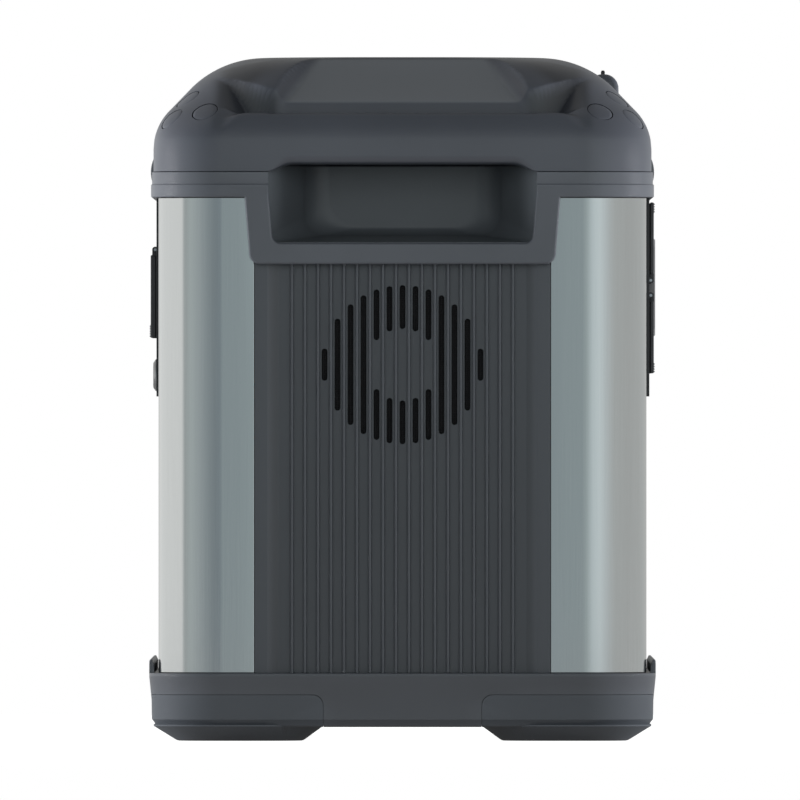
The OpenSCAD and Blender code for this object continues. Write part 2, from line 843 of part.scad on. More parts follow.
module fan_rotor() {
    color([0.15, 0.15, 0.16]) difference() {
        union() {
            rod_x(fan_x - 23, fan_x - 5, 0, vent_z, fan_hub);
            for (i = [0:6]) translate([fan_x - 14, 0, vent_z]) rotate([i * 360 / 7, 0, 0]) rotate([0, 0, 35])
                box(-9, 9, -0.8, 0.8, fan_hub - 3, 41.5);
        }
        rod_x(fan_x - 21, fan_x - 4, 0, vent_z, 2.05);
    }
}

module left_fan_frame() {
    fan_frame();
}

module right_fan_frame() {
    mirror([1, 0, 0]) fan_frame();
}

module left_fan_rotor() {
    fan_rotor();
}

module right_fan_rotor() {
    mirror([1, 0, 0]) fan_rotor();
}

module dust_screens() {
    color([0.1, 0.1, 0.11]) both_ends()
        box(-body_hl + 5.5, -body_hl + 6.7, -48, 48, vent_z - 48, vent_z + 48);
}

module cable(points, r) {
    // Round cable through axis-aligned points.
    for (i = [0 : len(points) - 2]) {
        a = points[i];
        d = points[i + 1] - a;
        translate(a) rotate([0, acos(d[2] / norm(d)), atan2(d[1], d[0])]) cylinder(h = norm(d), r = r);
        translate(points[i + 1]) sphere(r);
    }
}

module wiring_harness() {
    color([0.6, 0.1, 0.1]) {
        cable([[-126, 40, 172], [-126, 40, 183], [-160, 40, 183], [-160, 40, 206], [-148, 40, 206]], 3);
        cable([[-126, -40, 172], [-126, -40, 183], [-160, -40, 183], [-160, -40, 206], [-148, -40, 206]], 3);
        cable([[146, 20, 246], [158, 20, 246], [158, 116, 246], [60, 116, 246], [60, 116, 251]], 2.5);
    }
}

module main_fuse() {
    color([0.75, 0.72, 0.6]) {
        box(-140, -118, 52, 92, 179, 188);
        rod_y(48, 96, -129, 183.5, 3);
    }
}

base_tray();
corner_feet();
foot_screws();
front_wrap();
rear_wrap();
left_end_panel();
right_end_panel();
collar();
handle_cups();
top_cover();
lid_gasket();
screw_caps();
case_screws();
side_clips();
shoulder_pod();
pod_switch();
front_fascia();
display_bezel();
display_lens();
display_board();
ac_sockets();
dc_sockets();
usb_ports();
car_socket();
ac_flap_upper();
ac_flap_lower();
dc_flap_upper();
dc_flap_lower();
flap_pins();
power_button();
ac_button();
dc_button();
rear_fascia();
input_flap();
input_flap_pin();
reset_button();
ac_inlet();
dc_inlet();
chassis_frame();
battery_cells();
cell_end_plates();
cell_straps();
cell_busbars();
battery_board();
inverter_board();
inverter_heatsink();
transformer();
capacitors();
charge_board();
left_fan_frame();
right_fan_frame();
left_fan_rotor();
right_fan_rotor();
dust_screens();
wiring_harness();
main_fuse();
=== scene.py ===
import json
import math
import bmesh
import bpy
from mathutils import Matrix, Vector
from mathutils.bvhtree import BVHTree


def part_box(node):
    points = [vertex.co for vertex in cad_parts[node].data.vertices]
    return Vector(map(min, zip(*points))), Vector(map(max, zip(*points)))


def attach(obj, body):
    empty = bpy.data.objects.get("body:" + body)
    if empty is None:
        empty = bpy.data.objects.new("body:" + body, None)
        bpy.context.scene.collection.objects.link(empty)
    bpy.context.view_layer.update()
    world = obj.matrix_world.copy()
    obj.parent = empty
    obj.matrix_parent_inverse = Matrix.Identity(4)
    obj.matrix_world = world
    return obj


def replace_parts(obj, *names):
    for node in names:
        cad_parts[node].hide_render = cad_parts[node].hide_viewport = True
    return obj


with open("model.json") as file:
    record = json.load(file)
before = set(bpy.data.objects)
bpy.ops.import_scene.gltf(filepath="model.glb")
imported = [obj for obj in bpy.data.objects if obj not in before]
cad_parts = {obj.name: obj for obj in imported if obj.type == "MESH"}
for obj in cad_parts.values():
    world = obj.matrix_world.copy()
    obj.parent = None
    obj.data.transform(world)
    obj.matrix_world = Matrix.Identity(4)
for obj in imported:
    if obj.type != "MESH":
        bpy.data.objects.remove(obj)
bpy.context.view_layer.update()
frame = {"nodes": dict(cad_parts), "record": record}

# Portable power station. All shapes are worked out in millimetres and built in metres, in the row frame:
# +X along the length, -Y the control face, +Z up.
MM = 0.001

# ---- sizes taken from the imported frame


def box_mm(node):
    low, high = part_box(node)
    return low / MM, high / MM


lid_low, lid_high = box_mm("top_cover")
wrap_low, wrap_high = box_mm("front_wrap")
panel_low, panel_high = box_mm("left_end_panel")
collar_high = box_mm("collar")[1]
tray_high = box_mm("base_tray")[1]

HL = lid_high.x                      # half length over the grab bars
LID_HW = lid_high.y
LID_Z = lid_low.z                    # seam between the lid and the collar
TOP = lid_high.z
DOME_H = 52.1                        # the lid's domed shoulder starts this far below its top
BODY_HL = wrap_high.x
BODY_HW = -wrap_low.y
BODY_Z = (wrap_low.z, wrap_high.z)
COLLAR_HL = collar_high.x
COLLAR_HW = collar_high.y
COLLAR_Z = 304.6                     # lower edge of the collar
TRAY_HL = tray_high.x
TRAY_HW = tray_high.y
FASCIA = 138.6                       # outer face of the fascias, from the middle
FASCIA_Z = 193                       # lower edge of the fascias
SHEET = 1.8                          # wall of the wraps and the handle cups
WRAP_R = 36                          # corner radius of the wraps in plan
PANEL_HW = 83                        # half width of an end panel
CORNERS = [(sx, sy) for sx in (-1, 1) for sy in (-1, 1)]

# ---- materials


def lin(r, g, b):
    """Scene-linear colour from display values 0 to 255."""
    out = []
    for v in (r, g, b):
        v = v / 255
        out.append(v / 12.92 if v <= 0.04045 else ((v + 0.055) / 1.055) ** 2.4)
    return (*out, 1)


def shade(colour, k):
    return (colour[0] * k, colour[1] * k, colour[2] * k, 1)


class Graph:
    """Adds and links shader nodes in one node tree."""

    def __init__(self, tree):
        self.tree = tree

    def add(self, kind, **values):
        """A new node with properties and inputs set. An underscore stands for a space in an input's name."""
        node = self.tree.nodes.new(kind)
        for key, value in values.items():
            if hasattr(node, key):
                setattr(node, key, value)
            else:
                node.inputs[key.replace("_", " ")].default_value = value
        return node

    def link(self, a, b):
        self.tree.links.new(a, b)

    def feed(self, value, socket):
        """Links an output to a socket, or sets the socket to a plain value."""
        if hasattr(value, "is_linked"):
            self.link(value, socket)
        else:
            socket.default_value = value

    def calc(self, operation, a, b=0.0):
        node = self.add("ShaderNodeMath", operation=operation)
        self.feed(a, node.inputs[0])
        self.feed(b, node.inputs[1])
        return node.outputs[0]

    def remap(self, source, from_min, from_max, to_min=0.0, to_max=1.0):
        node = self.add("ShaderNodeMapRange", From_Min=from_min, From_Max=from_max)
        node.inputs["To Min"].default_value = to_min
        node.inputs["To Max"].default_value = to_max
        self.link(source, node.inputs["Value"])
        return node.outputs["Result"]

    def ramp(self, source, stops):
        node = self.add("ShaderNodeValToRGB")
        while len(node.color_ramp.elements) < len(stops):
            node.color_ramp.elements.new(0.5)
        for element, (at, colour) in zip(node.color_ramp.elements, stops):
            element.position = at
            element.color = colour
        self.link(source, node.inputs["Fac"])
        return node.outputs["Color"]


class Surface(Graph):
    """The nodes of one material, laid out by place on the object."""

    def __init__(self, name):
        self.material = bpy.data.materials.new(name)
        self.material.use_nodes = True
        super().__init__(self.material.node_tree)
        self.bsdf = self.tree.nodes["Principled BSDF"]
        self.place = self.add("ShaderNodeTexCoord").outputs["Object"]

    def noise(self, scale, detail=2.0, stretch=(1, 1, 1), rough=0.5):
        mapping = self.add("ShaderNodeMapping", Scale=stretch)
        self.link(self.place, mapping.inputs["Vector"])
        node = self.add("ShaderNodeTexNoise", Scale=scale, Detail=detail, Roughness=rough)
        self.link(mapping.outputs["Vector"], node.inputs["Vector"])
        return node.outputs["Fac"]

    def spread(self, source, low, high):
        """Noise, which stays mostly between 0.3 and 0.7, stretched to run from low to high."""
        return self.remap(source, 0.3, 0.7, low, high)

    def mix(self, amount, a, b):
        node = self.add("ShaderNodeMix", data_type="RGBA")
        for index, value in ((0, amount), (6, a), (7, b)):
            self.feed(value, node.inputs[index])
        return node.outputs[2]

    def bump(self, source, distance):
        node = self.add("ShaderNodeBump", Distance=distance * MM)
        self.link(source, node.inputs["Height"])
        return node.outputs["Normal"]

    def edges(self, low=0.52, high=0.6):
        """1 on worn outer edges, 0 elsewhere."""
        return self.remap(self.add("ShaderNodeNewGeometry").outputs["Pointiness"], low, high)

    def finish(self, colour, rough, relief, **settings):
        """The material, with its colour, roughness and relief linked and any other inputs set."""
        for name, source in (("Base Color", colour), ("Roughness", rough), ("Normal", relief)):
            self.link(source, self.bsdf.inputs[name])
        for key, value in settings.items():
            self.bsdf.inputs[key.replace("_", " ")].default_value = value
        return self.material


def moulded(name, colour, rough=0.45, grain=0.012, wear=1.35, ior=1.5, hollow=0, deep=0.6, painted_light=None):
    """Moulded plastic or rubber: fine grain, cloudy colour and gloss, edges rubbed a little paler.
    With hollow given, in mm, corners and pockets narrower than that get painted shade, darkening towards deep
    times the colour.
    With painted_light given, that colour is painted on as light where the mesh's painted_light_and_shade is
    1, and painted shade of 0.42 times the colour where it is -1."""
    n = Surface(name)
    base = n.ramp(n.noise(14, 3), [(0.3, shade(colour, 0.93)), (0.7, shade(colour, 1.07))])
    speck = n.noise(1500, 2)
    base = n.mix(n.spread(speck, 0, 0.1), base, shade(colour, 1.25))
    if painted_light:
        # Painted light where the mesh's attribute is 1, painted shade where it is -1
        zone = n.add("ShaderNodeAttribute", attribute_name="painted_light_and_shade").outputs["Fac"]
        base = n.mix(zone, base, painted_light)
        base = n.mix(n.calc("MULTIPLY", zone, -1), base, shade(colour, 0.42))
    base = n.mix(n.edges(), base, shade(colour, wear))
    if hollow:
        # Painted shade: the colour darkens towards deep times the colour where ambient occlusion finds the
        # surface closed in
        painted_pocket_shade = n.add("ShaderNodeAmbientOcclusion", samples=6, Distance=hollow * MM)
        base = n.mix(painted_pocket_shade.outputs["AO"], shade(colour, deep), base)
    gloss = n.spread(n.noise(45, 3), rough - 0.02, rough + 0.02)
    return n.finish(base, gloss, n.bump(speck, grain), IOR=ior)


def brushed(name, colour, rough=0.13, stretch=(1, 1, 0.012)):
    """Brushed metal: fine lines along one axis in colour, gloss and relief."""
    n = Surface(name)
    lines = n.noise(1400, 3, stretch, 0.65)
    base = n.ramp(lines, [(0.25, shade(colour, 0.96)), (0.75, shade(colour, 1.03))])
    base = n.mix(n.spread(n.noise(9, 2), 0, 0.05), base, shade(colour, 0.85))
    base = n.mix(n.edges(0.54, 0.64), base, shade(colour, 1.2))
    gloss = n.spread(lines, rough - 0.02, rough + 0.03)
    return n.finish(base, gloss, n.bump(lines, 0.0004), Metallic=1)


def glossy(name, colour, rough=0.08):
    """Smoked display lens: clear coat over a dark tint, with faint smears."""
    n = Surface(name)
    smear = n.noise(30, 4, (1, 1, 3))
    base = n.ramp(smear, [(0.3, shade(colour, 0.8)), (0.7, shade(colour, 1.3))])
    gloss = n.spread(smear, rough, rough + 0.1)
    return n.finish(base, gloss, n.bump(n.noise(900, 2), 0.001), Coat_Weight=0.6)


def woven(name, colour, pitch=1.0):
    """Dust screen: two crossed sets of threads."""
    n = Surface(name)
    split = n.add("ShaderNodeSeparateXYZ")
    n.link(n.place, split.inputs[0])
    waves = [n.calc("SINE", n.calc("MULTIPLY", split.outputs[axis], 2 * math.pi / (pitch * MM)))
             for axis in ("Y", "Z")]
    height = n.calc("MAXIMUM", *waves)
    base = n.ramp(height, [(0.1, shade(colour, 0.2)), (0.9, shade(colour, 1.3))])
    return n.finish(base, n.spread(n.noise(60), 0.6, 0.8), n.bump(height, 0.15))


def circuit(name, colour):
    """Solder mask with faint tracks under it."""
    n = Surface(name)
    cells = n.add("ShaderNodeTexVoronoi", feature="DISTANCE_TO_EDGE", distance="MANHATTAN", Scale=160)
    n.link(n.place, cells.inputs["Vector"])
    edge = cells.outputs["Distance"]
    base = n.ramp(edge, [(0.03, shade(colour, 1.9)), (0.08, colour)])
    return n.finish(base, n.spread(n.noise(50), 0.25, 0.4), n.bump(edge, 0.03))


FINISH = {
    "collar": moulded("lid_plastic_collar", lin(74, 77, 84), 0.36, ior=1.85),
    # The lid gets painted shade in its pockets, painted light on the scoops' back walls and painted shade in
    # the valleys beside them
    "lid_plastic": moulded("lid_plastic", lin(68, 71, 79), 0.36, ior=1.85, hollow=25, deep=0.5,
                           painted_light=lin(108, 111, 116)),
    "base_plastic": moulded("base_plastic", lin(55, 58, 63), 0.40, ior=1.8),
    "tray": moulded("tray_plastic", lin(66, 69, 75), 0.36, ior=1.9),
    # The handle cups get painted shade deep in the recess
    "cup_plastic": moulded("cup_plastic", lin(86, 91, 96), 0.45, ior=1.7, hollow=70, deep=0.5),
    "bezel": moulded("bezel_plastic", lin(94, 94, 95), 0.36, ior=1.6),
    "segments": moulded("lit_segments", lin(190, 214, 222), 0.4),
    "foot_rubber": moulded("foot_rubber", lin(67, 71, 77), 0.5, 0.02, 1.25, 1.8),
    "aluminium": brushed("aluminium", lin(212, 214, 214)),
    "fascia_plastic": moulded("fascia_plastic", lin(48, 49, 51), 0.4, wear=1.0),
    "flap_rubber": moulded("flap_rubber", lin(60, 61, 63), 0.6, 0.02, 1.3, 1.45),
    "steel": brushed("steel", lin(190, 190, 194), 0.25, (1, 1, 1)),
    "button_metal": brushed("button_metal", lin(168, 168, 169), 0.28, (1, 1, 1)),
    "lens": glossy("lens", lin(20, 22, 25)),
    "black_plastic": moulded("black_plastic", lin(38, 38, 40), 0.4),
    "screen_mesh": woven("screen_mesh", lin(24, 24, 26)),
    "board_green": circuit("board_green", lin(22, 78, 46)),
    "cell_blue": moulded("cell_blue", lin(40, 84, 150), 0.3, 0.01, 1.2),
    "copper": brushed("copper", lin(204, 132, 92), 0.3, (1, 1, 1)),
    "cable_jacket": moulded("cable_jacket", lin(150, 32, 30), 0.4, 0.01, 1.2),
    "fuse_body": moulded("fuse_body", lin(200, 188, 160), 0.35, 0.01, 1.1),
}

SLOT_OF = {s["node"]: s["material_slot"] for s in frame["record"]["subparts"]}
for node_name, node_object in frame["nodes"].items():
    node_object.data.materials.clear()
    node_object.data.materials.append(FINISH[SLOT_OF[node_name]])

# ---- mesh helpers

PIECES = []


def new_object(name, points, faces, merge=False):
    """A mesh object from points in mm, with its faces turned outwards and, if asked, its doubles merged."""
    mesh = bpy.data.meshes.new(name)
    mesh.from_pydata([(x * MM, y * MM, z * MM) for x, y, z in points], [], faces)
    bm = bmesh.new()
    bm.from_mesh(mesh)
    if merge:
        bmesh.ops.remove_doubles(bm, verts=bm.verts, dist=0.00001)
        bmesh.ops.dissolve_degenerate(bm, edges=bm.edges, dist=0.000005)
    bmesh.ops.recalc_face_normals(bm, faces=bm.faces)
    bm.to_mesh(mesh)
    bm.free()
    obj = bpy.data.objects.new(name, mesh)
    bpy.context.scene.collection.objects.link(obj)
    return obj


def piece(name, points, faces, slot, body="housing", replaces=(), sharp=32, finish=None):
    """A visible piece, smooth except at edges sharper than the given angle."""
    obj = new_object(name, points, faces, merge=True)
    obj.data.materials.append(FINISH[finish or slot])
    smooth(obj.data, sharp)
    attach(obj, body)
    if replaces:
        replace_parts(obj, *replaces)
    PIECES.append(obj)
    return obj


def smooth(mesh, sharp):
    mesh.shade_smooth()
    mesh.set_sharp_from_angle(angle=math.radians(sharp))


def apply_modifiers(obj, sharp=32):
    """Bakes the modifiers into the mesh."""
    bpy.context.view_layer.update()
    graph = bpy.context.evaluated_depsgraph_get()
    mesh = bpy.data.meshes.new_from_object(obj.evaluated_get(graph))
    obj.modifiers.clear()
    obj.data = mesh
    smooth(mesh, sharp)


def boolean(obj, cutter, operation="DIFFERENCE", sharp=32):
    """Cuts with, or joins on, another object and removes that object."""
    modifier = obj.modifiers.new("cut", "BOOLEAN")
    modifier.object = cutter
    modifier.operation = operation
    modifier.solver = "EXACT"
    apply_modifiers(obj, sharp)
    bpy.data.objects.remove(cutter)


def bevel(obj, width, segments=3, angle=35):
    modifier = obj.modifiers.new("rounding", "BEVEL")
    modifier.width = width * MM
    modifier.segments = segments
    modifier.limit_method = "ANGLE"
    modifier.angle_limit = math.radians(angle)
    modifier.miter_outer = "MITER_ARC"


def loft(rings, closed=True, cap_first=True, cap_last=True):
    """Faces between rings that all have the same number of points."""
    points = [p for ring in rings for p in ring]
    n = len(rings[0])
    faces = []
    for k in range(len(rings) - 1):
        for i in range(n if closed else n - 1):
            j = (i + 1) % n
            faces.append((k * n + i, k * n + j, (k + 1) * n + j, (k + 1) * n + i))
    if cap_first:
        faces.append(tuple(range(n - 1, -1, -1)))
    if cap_last:
        last = (len(rings) - 1) * n
        faces.append(tuple(last + i for i in range(n)))
    return points, faces


def joined(*parts):
    """Several (points, faces) as one."""
    points, faces = [], []
    for part_points, part_faces in parts:
        start = len(points)
        points += part_points
        faces += [tuple(start + i for i in face) for face in part_faces]
    return points, faces


def arc(cx, cy, r, start, end, steps):
    """Points along an arc, with its angles in degrees."""
    turns = [math.radians(start + (end - start) * i / steps) for i in range(steps + 1)]
    return [(cx + r * math.cos(a), cy + r * math.sin(a)) for a in turns]


def circle(radius, count):
    return arc(0, 0, radius, 0, 360, count)[:-1]


def round_rect(hx, hy, r, corner=12, along_x=2, along_y=2, cx=0.0, cy=0.0):
    """Outline of a rounded rectangle, anticlockwise from the +X side: the same count for any size."""
    out = []
    sides = [
        ((hx, -(hy - r)), (hx, hy - r), along_y, (hx - r, hy - r), 0),
        ((hx - r, hy), (-(hx - r), hy), along_x, (-(hx - r), hy - r), 90),
        ((-hx, hy - r), (-hx, -(hy - r)), along_y, (-(hx - r), -(hy - r)), 180),
        ((-(hx - r), -hy), (hx - r, -hy), along_x, (hx - r, -(hy - r)), 270),
    ]
    for start, end, count, centre, angle in sides:
        for i in range(count):
            t = i / count
            out.append((cx + start[0] + (end[0] - start[0]) * t, cy + start[1] + (end[1] - start[1]) * t))
        out += arc(cx + centre[0], cy + centre[1], r, angle, angle + 90, corner)[:-1]
    return out


def block(x0, x1, y0, y1, z0, z1):
    points = [(x, y, z) for x in (x0, x1) for y in (y0, y1) for z in (z0, z1)]
    faces = [(0, 1, 3, 2), (4, 6, 7, 5), (0, 4, 5, 1), (2, 3, 7, 6), (0, 2, 6, 4), (1, 5, 7, 3)]
    return points, faces


def at_height(outline, z):
    return [(x, y, z) for x, y in outline]


def prism_x(outline, x0, x1):
    """An outline in (y, z), extruded along X."""
    return loft([[(x, y, z) for y, z in outline] for x in (x0, x1)])


def prism_z(outline, z0, z1):
    """An outline in (x, y), extruded along Z."""
    return loft([at_height(outline, z) for z in (z0, z1)])


def mirrored(part):
    """The same part at the other end."""
    points, faces = part
    return [(-x, y, z) for x, y, z in points], [tuple(reversed(f)) for f in faces]


def both_ends(part):
    return joined(part, mirrored(part))


def ease(t):
    """A smooth step from 0 to 1."""
    t = min(max(t, 0.0), 1.0)
    return t * t * (3 - 2 * t)


def soft_min(a, b, k):
    """The lesser of two values, blended where they are within k of each other."""
    h = max(k - abs(a - b), 0.0) / k
    return min(a, b) - h * h * k / 4


def soft_max(a, b, k):
    return -soft_min(-a, -b, k)


# ---- lid

BAR_TOP = 352.0
BAR_IN = 13.0                        # inner edge of a bar's flat top, from the end of the lid
FLOOR_U = 15.5                       # the valley behind it starts to rise here
FLOOR_Z = 346.0                      # and this is its floor
SHOULDER_IN = 62.7                   # how far in the shoulder reaches
LID_R = 38                           # corner radius of the lid in plan
LID_WALL = 3.2
PILLAR_W = 107                       # half distance between the corner pillars that frame the carving
BAR_HALF = 76                        # half length of a bar's underside
LIP_R = 0.35                         # rounding of the lid's lower edge away from the bars


def shoulder(d):
    """Height of the lid's dome at distance d in from its side: a small arc, a slope and a big arc."""
    big, small = 58.6, 31.4
    slope = math.radians(46)
    meet = SHOULDER_IN - big * math.cos(slope)
    low_end = small - small * math.cos(slope)
    low_z = TOP - DOME_H + small * math.sin(slope)
    high_z = TOP - big + big * math.sin(slope)
    if d <= low_end:
        return TOP - DOME_H + math.sqrt(max(small ** 2 - (small - d) ** 2, 0))
    if d >= meet:
        return TOP - big + math.sqrt(max(big ** 2 - (SHOULDER_IN - d) ** 2, 0))
    return low_z + (high_z - low_z) * (d - low_end) / (meet - low_end)


def scoop_rim(u):
    """Half width of a scoop's back wall at distance u in from the end of the lid."""
    return 72.8 - 0.51 * (u - 15.6)


def carved(x, y, d):
    """Height of the lid where the bars, the valleys behind them and the scoops cut into it."""
    z = shoulder(d)
    u = HL - abs(x)
    w = abs(y)
    if z < 338 or u > 64 or w > PILLAR_W + 1:
        return z
    bar = BAR_TOP - 1.6 * max(u - BAR_IN, 0)
    # Valley and pocket: from its floor the wall curves up to the crease, which swings in towards the corner
    out = max(w - 70, 0)
    crease_u = 19.5 + 0.0246 * out ** 2
    crease_z = 362.4 + 0.285 * out
    t = max(u - FLOOR_U, 0) / (crease_u - FLOOR_U)
    wall = FLOOR_Z + (crease_z - FLOOR_Z) * t ** (1.5 + 2.5 * ease(out / 15))
    pillar = shoulder(max(d - 0.036 * max(PILLAR_W - w, 0) ** 2, 0))
    valley = soft_max(soft_max(soft_max(bar, FLOOR_Z, 3), wall, 3), pillar, 6)
    # Scoop: a steep riser, a sloping back wall and two steep sides that meet it in a wide fillet
    riser = FLOOR_Z + 4.5 * (u - FLOOR_U - 1)
    back = 357.5 + 0.70 * (u - 18.5)
    side = shoulder(min(u, SHOULDER_IN)) - 2.8 * (scoop_rim(u) - w)
    scoop = soft_max(soft_min(riser, back, 2), side, 11)
    scoop = soft_max(soft_max(scoop, FLOOR_Z, 3), bar, 3)
    # A soft dent runs down the front at each end of the bar
    line = 105 - 0.8 * (z - 344)
    dent = 1.8 * math.exp(-((w - line) / 6) ** 2) * ease((z - 340) / 8) * ease((16 - u) / 8)
    cut = soft_min(soft_min(z, valley, 2), scoop, 1.5) - dent
    return z + (cut - z) * ease((PILLAR_W + 1 - w) / 8)


def bar_lower(y):
    """Lower edge of the lid's end: raised over the handle recess."""
    return LID_Z + 4 * (1 - ease((abs(y) - 62) / 14))


def bar_edge(y):
    """Rounding of the lid's lower edge: small all round, wide under the bars."""
    return LIP_R + 3.8 * ease((BAR_HALF - abs(y)) / 10)


def lid_outline(d):
    """The lid in plan, at distance d in from its side."""
    return round_rect(HL - d, LID_HW - d, LID_R + 0.35 * d, 46, 56, 150)


def lid_outside():
    """Rings up the rounded lower edge and the side, and then in over the dome."""
    # Share of the lower edge's rounding, and then share of the side's height
    levels = [(share, 0) for share in (0, 0.12, 0.3, 0.55, 1)]
    levels += [(1, climb) for climb in (0.25, 0.5, 0.75, 1)]
    rings = []
    for share, climb in levels:
        ring = []
        for x, y in lid_outline(0):
            at_end = abs(x) > HL - 1
            r = bar_edge(y) if at_end else LIP_R
            low = bar_lower(y) if at_end else LID_Z
            rise = r * share
            inset = r - math.sqrt(max(r * r - (r - rise) ** 2, 0))
            ring.append((x * (1 - inset / HL), y if at_end else y * (1 - inset / LID_HW),
                         low + rise + (TOP - DOME_H - low - rise) * climb))
        rings.append(ring)
    count = 88
    for step in range(1, count + 1):
        # Closer together at first, where the side is steep
        t = step / count
        d = SHOULDER_IN * (0.35 * t * t + 0.65 * t)
        rings.append([(x, y, carved(x, y, d)) for x, y in lid_outline(d)])
    return rings


def lid_inside():
    """Underside, from the outer edge inwards: flange, bar underside, finger pocket and hollow."""
    pocket_z = 336.0                 # top of the finger pocket behind a bar

    def under(x, y, d):
        u = HL - abs(x)
        w = abs(y)
        if d < 3.4:
            return bar_lower(y) if u < 23 else LID_Z
        if u < 22 and w < BAR_HALF:
            return bar_lower(y)
        if u < 54 and w < 79 - 0.62 * (u - 5):
            return pocket_z
        if u < 66 and w < PILLAR_W:
            return LID_Z
        return shoulder(max(d - LID_WALL, 0)) - LID_WALL

    rings = []
    for d in (0.9, 2, 3.3, 3.5, 7, 12, 17, 21.5, 22.5, 23.5, 28, 34, 40, 46, 49.5, 50.5, 56, 60, SHOULDER_IN):
        ring = []
        for x, y in lid_outline(d):
            # Under a bar the first rings start inside its rounded edge
            start = bar_edge(y) + 0.2 * d
            if HL - abs(x) < start and abs(x) > HL - 5 and abs(y) < BAR_HALF:
                x = math.copysign(HL - start, x)
            ring.append((x, y, under(x, y, d)))
        rings.append(ring)
    return rings


# Caps of one corner: x, y, z, then the heading and rise of the axis in degrees
CAPS = [(196, 111, 352.9, 30, 43), (169.2, 120.7, 360, 66, 46), (183, 130, 349, 63, 34)]
CAP_R = 7.15


def cap_frames():
    """Centre and axis of each of the twelve screw caps."""
    for x, y, z, heading, rise in CAPS:
        h, r = math.radians(heading), math.radians(rise)
        axis = Vector((math.cos(r) * math.cos(h), math.cos(r) * math.sin(h), math.sin(r)))
        for sx, sy in CORNERS:
            yield Vector((sx * x, sy * y, z)), Vector((sx * axis.x, sy * axis.y, axis.z))


def disc_rings(centre, axis, steps, count=40):
    """Rings of points round an axis, from (radius, height along the axis) pairs."""
    side = axis.orthogonal().normalized()
    other = axis.cross(side)
    rings = []
    for radius, lift in steps:
        middle = centre + axis * lift
        rings.append([tuple(middle + (side * a + other * b) * radius) for a, b in circle(1, count)])
    return rings


lid_rings = list(reversed(lid_inside())) + lid_outside()
lid = piece("lid_shell", *loft(lid_rings), "lid_plastic", replaces=("top_cover",), sharp=40)

# Painted light makes the back walls of the scoops paler, and painted shade makes the valleys beside them
# darker
painted_light_and_shade = lid.data.attributes.new("painted_light_and_shade", "FLOAT", "POINT")
for vertex, value in zip(lid.data.vertices, painted_light_and_shade.data):
    x, y, z = vertex.co / MM
    u = HL - abs(x)
    w = abs(y)
    if not 14 < u < 62 or w > PILLAR_W or z < FLOOR_Z:
        continue
    rim = scoop_rim(u)
    depth = shoulder(min(u, LID_HW - w, SHOULDER_IN)) - z
    painted_light = ease((rim - 2 - w) / 7) * ease((z - 356.8) / 1.6) * ease(depth / 1.2)
    painted_valley_shade = ease((depth - 0.4) / 3) * ease((z - 349) / 3) * ease((w - rim + 4) / 6)
    value.value = painted_light - painted_valley_shade * ease((106 - w) / 10) * (1 - painted_light)

# Caps follow the lid's own curve, so they are cast onto it before their holes are cut
lid_surface = BVHTree.FromObject(lid, bpy.context.evaluated_depsgraph_get())


def on_lid(point, axis):
    """Where a line along a cap's axis meets the outside of the lid, in mm."""
    hit = lid_surface.ray_cast((point + axis * 25) * MM, -axis, 0.05)[0]
    return Vector(hit) / MM if hit else point


def cap(centre, axis):
    """A cap whose top follows the lid, from its skirt to the middle."""
    # Radius of each ring, and how far it stands above the lid
    steps = [(CAP_R, -1.7), (CAP_R, -0.5), (CAP_R - 0.3, -0.12), (5, -0.02), (2.5, 0), (0.01, 0)]
    rings = disc_rings(centre, axis, [(radius, 0) for radius, lift in steps])
    return loft([[tuple(on_lid(Vector(p), axis) + axis * lift) for p in ring]
                 for ring, (radius, lift) in zip(rings, steps)], cap_last=False)


cap_parts = [cap(centre, axis) for centre, axis in cap_frames()]
hole_parts = [loft(disc_rings(centre, axis, [(CAP_R + 0.45, -2.6), (CAP_R + 0.45, 9)]))
              for centre, axis in cap_frames()]
piece("lid_screw_caps", *joined(*cap_parts), "lid_plastic", replaces=("screw_caps",), sharp=50)
boolean(lid, new_object("cap_holes", *joined(*hole_parts)), sharp=40)

# ---- aluminium wraps


def thicken(obj, thickness, outward, sharp=32):
    """Turns a sheet into a wall. An open sheet's normals may point either way, so outward says which."""
    modifier = obj.modifiers.new("thickness", "SOLIDIFY")
    modifier.thickness = thickness * MM
    modifier.offset = -1 if outward else 1
    apply_modifiers(obj, sharp)


def wrap(name, node, side, notch):
    """Sheet round two corners, with a notch of the given half length down to the fascia's lower edge."""
    half = [(-BODY_HL, -PANEL_HW - 0.15), (-BODY_HL, -92)]
    half += arc(WRAP_R - BODY_HL, WRAP_R - BODY_HW, WRAP_R, 180, 270, 40)
    path = half + [(-notch, -BODY_HW), (notch, -BODY_HW)] + [(-x, y) for x, y in reversed(half)]
    levels = [BODY_Z[0], FASCIA_Z - 0.2, BODY_Z[1]]
    points = [(x, side * y, z) for z in levels for x, y in path]
    n = len(path)
    faces = []
    for k in range(2):
        for i in range(n - 1):
            if k == 1 and abs(path[i][0]) <= notch + 0.01 and abs(path[i + 1][0]) <= notch + 0.01:
                continue
            faces.append((k * n + i, k * n + i + 1, (k + 1) * n + i + 1, (k + 1) * n + i))
    obj = piece(name, points, faces, "aluminium", replaces=(node,))
    thicken(obj, SHEET, sum(p.normal.y * side for p in obj.data.polygons) < 0)
    bevel(obj, 0.3, 2)
    apply_modifiers(obj)


wrap("front_aluminium", "front_wrap", 1, 160.2)
wrap("rear_aluminium", "rear_wrap", -1, 90.2)

# ---- collar and handle surrounds

GROOVE_Z = 311.5                     # step between the collar's two bands


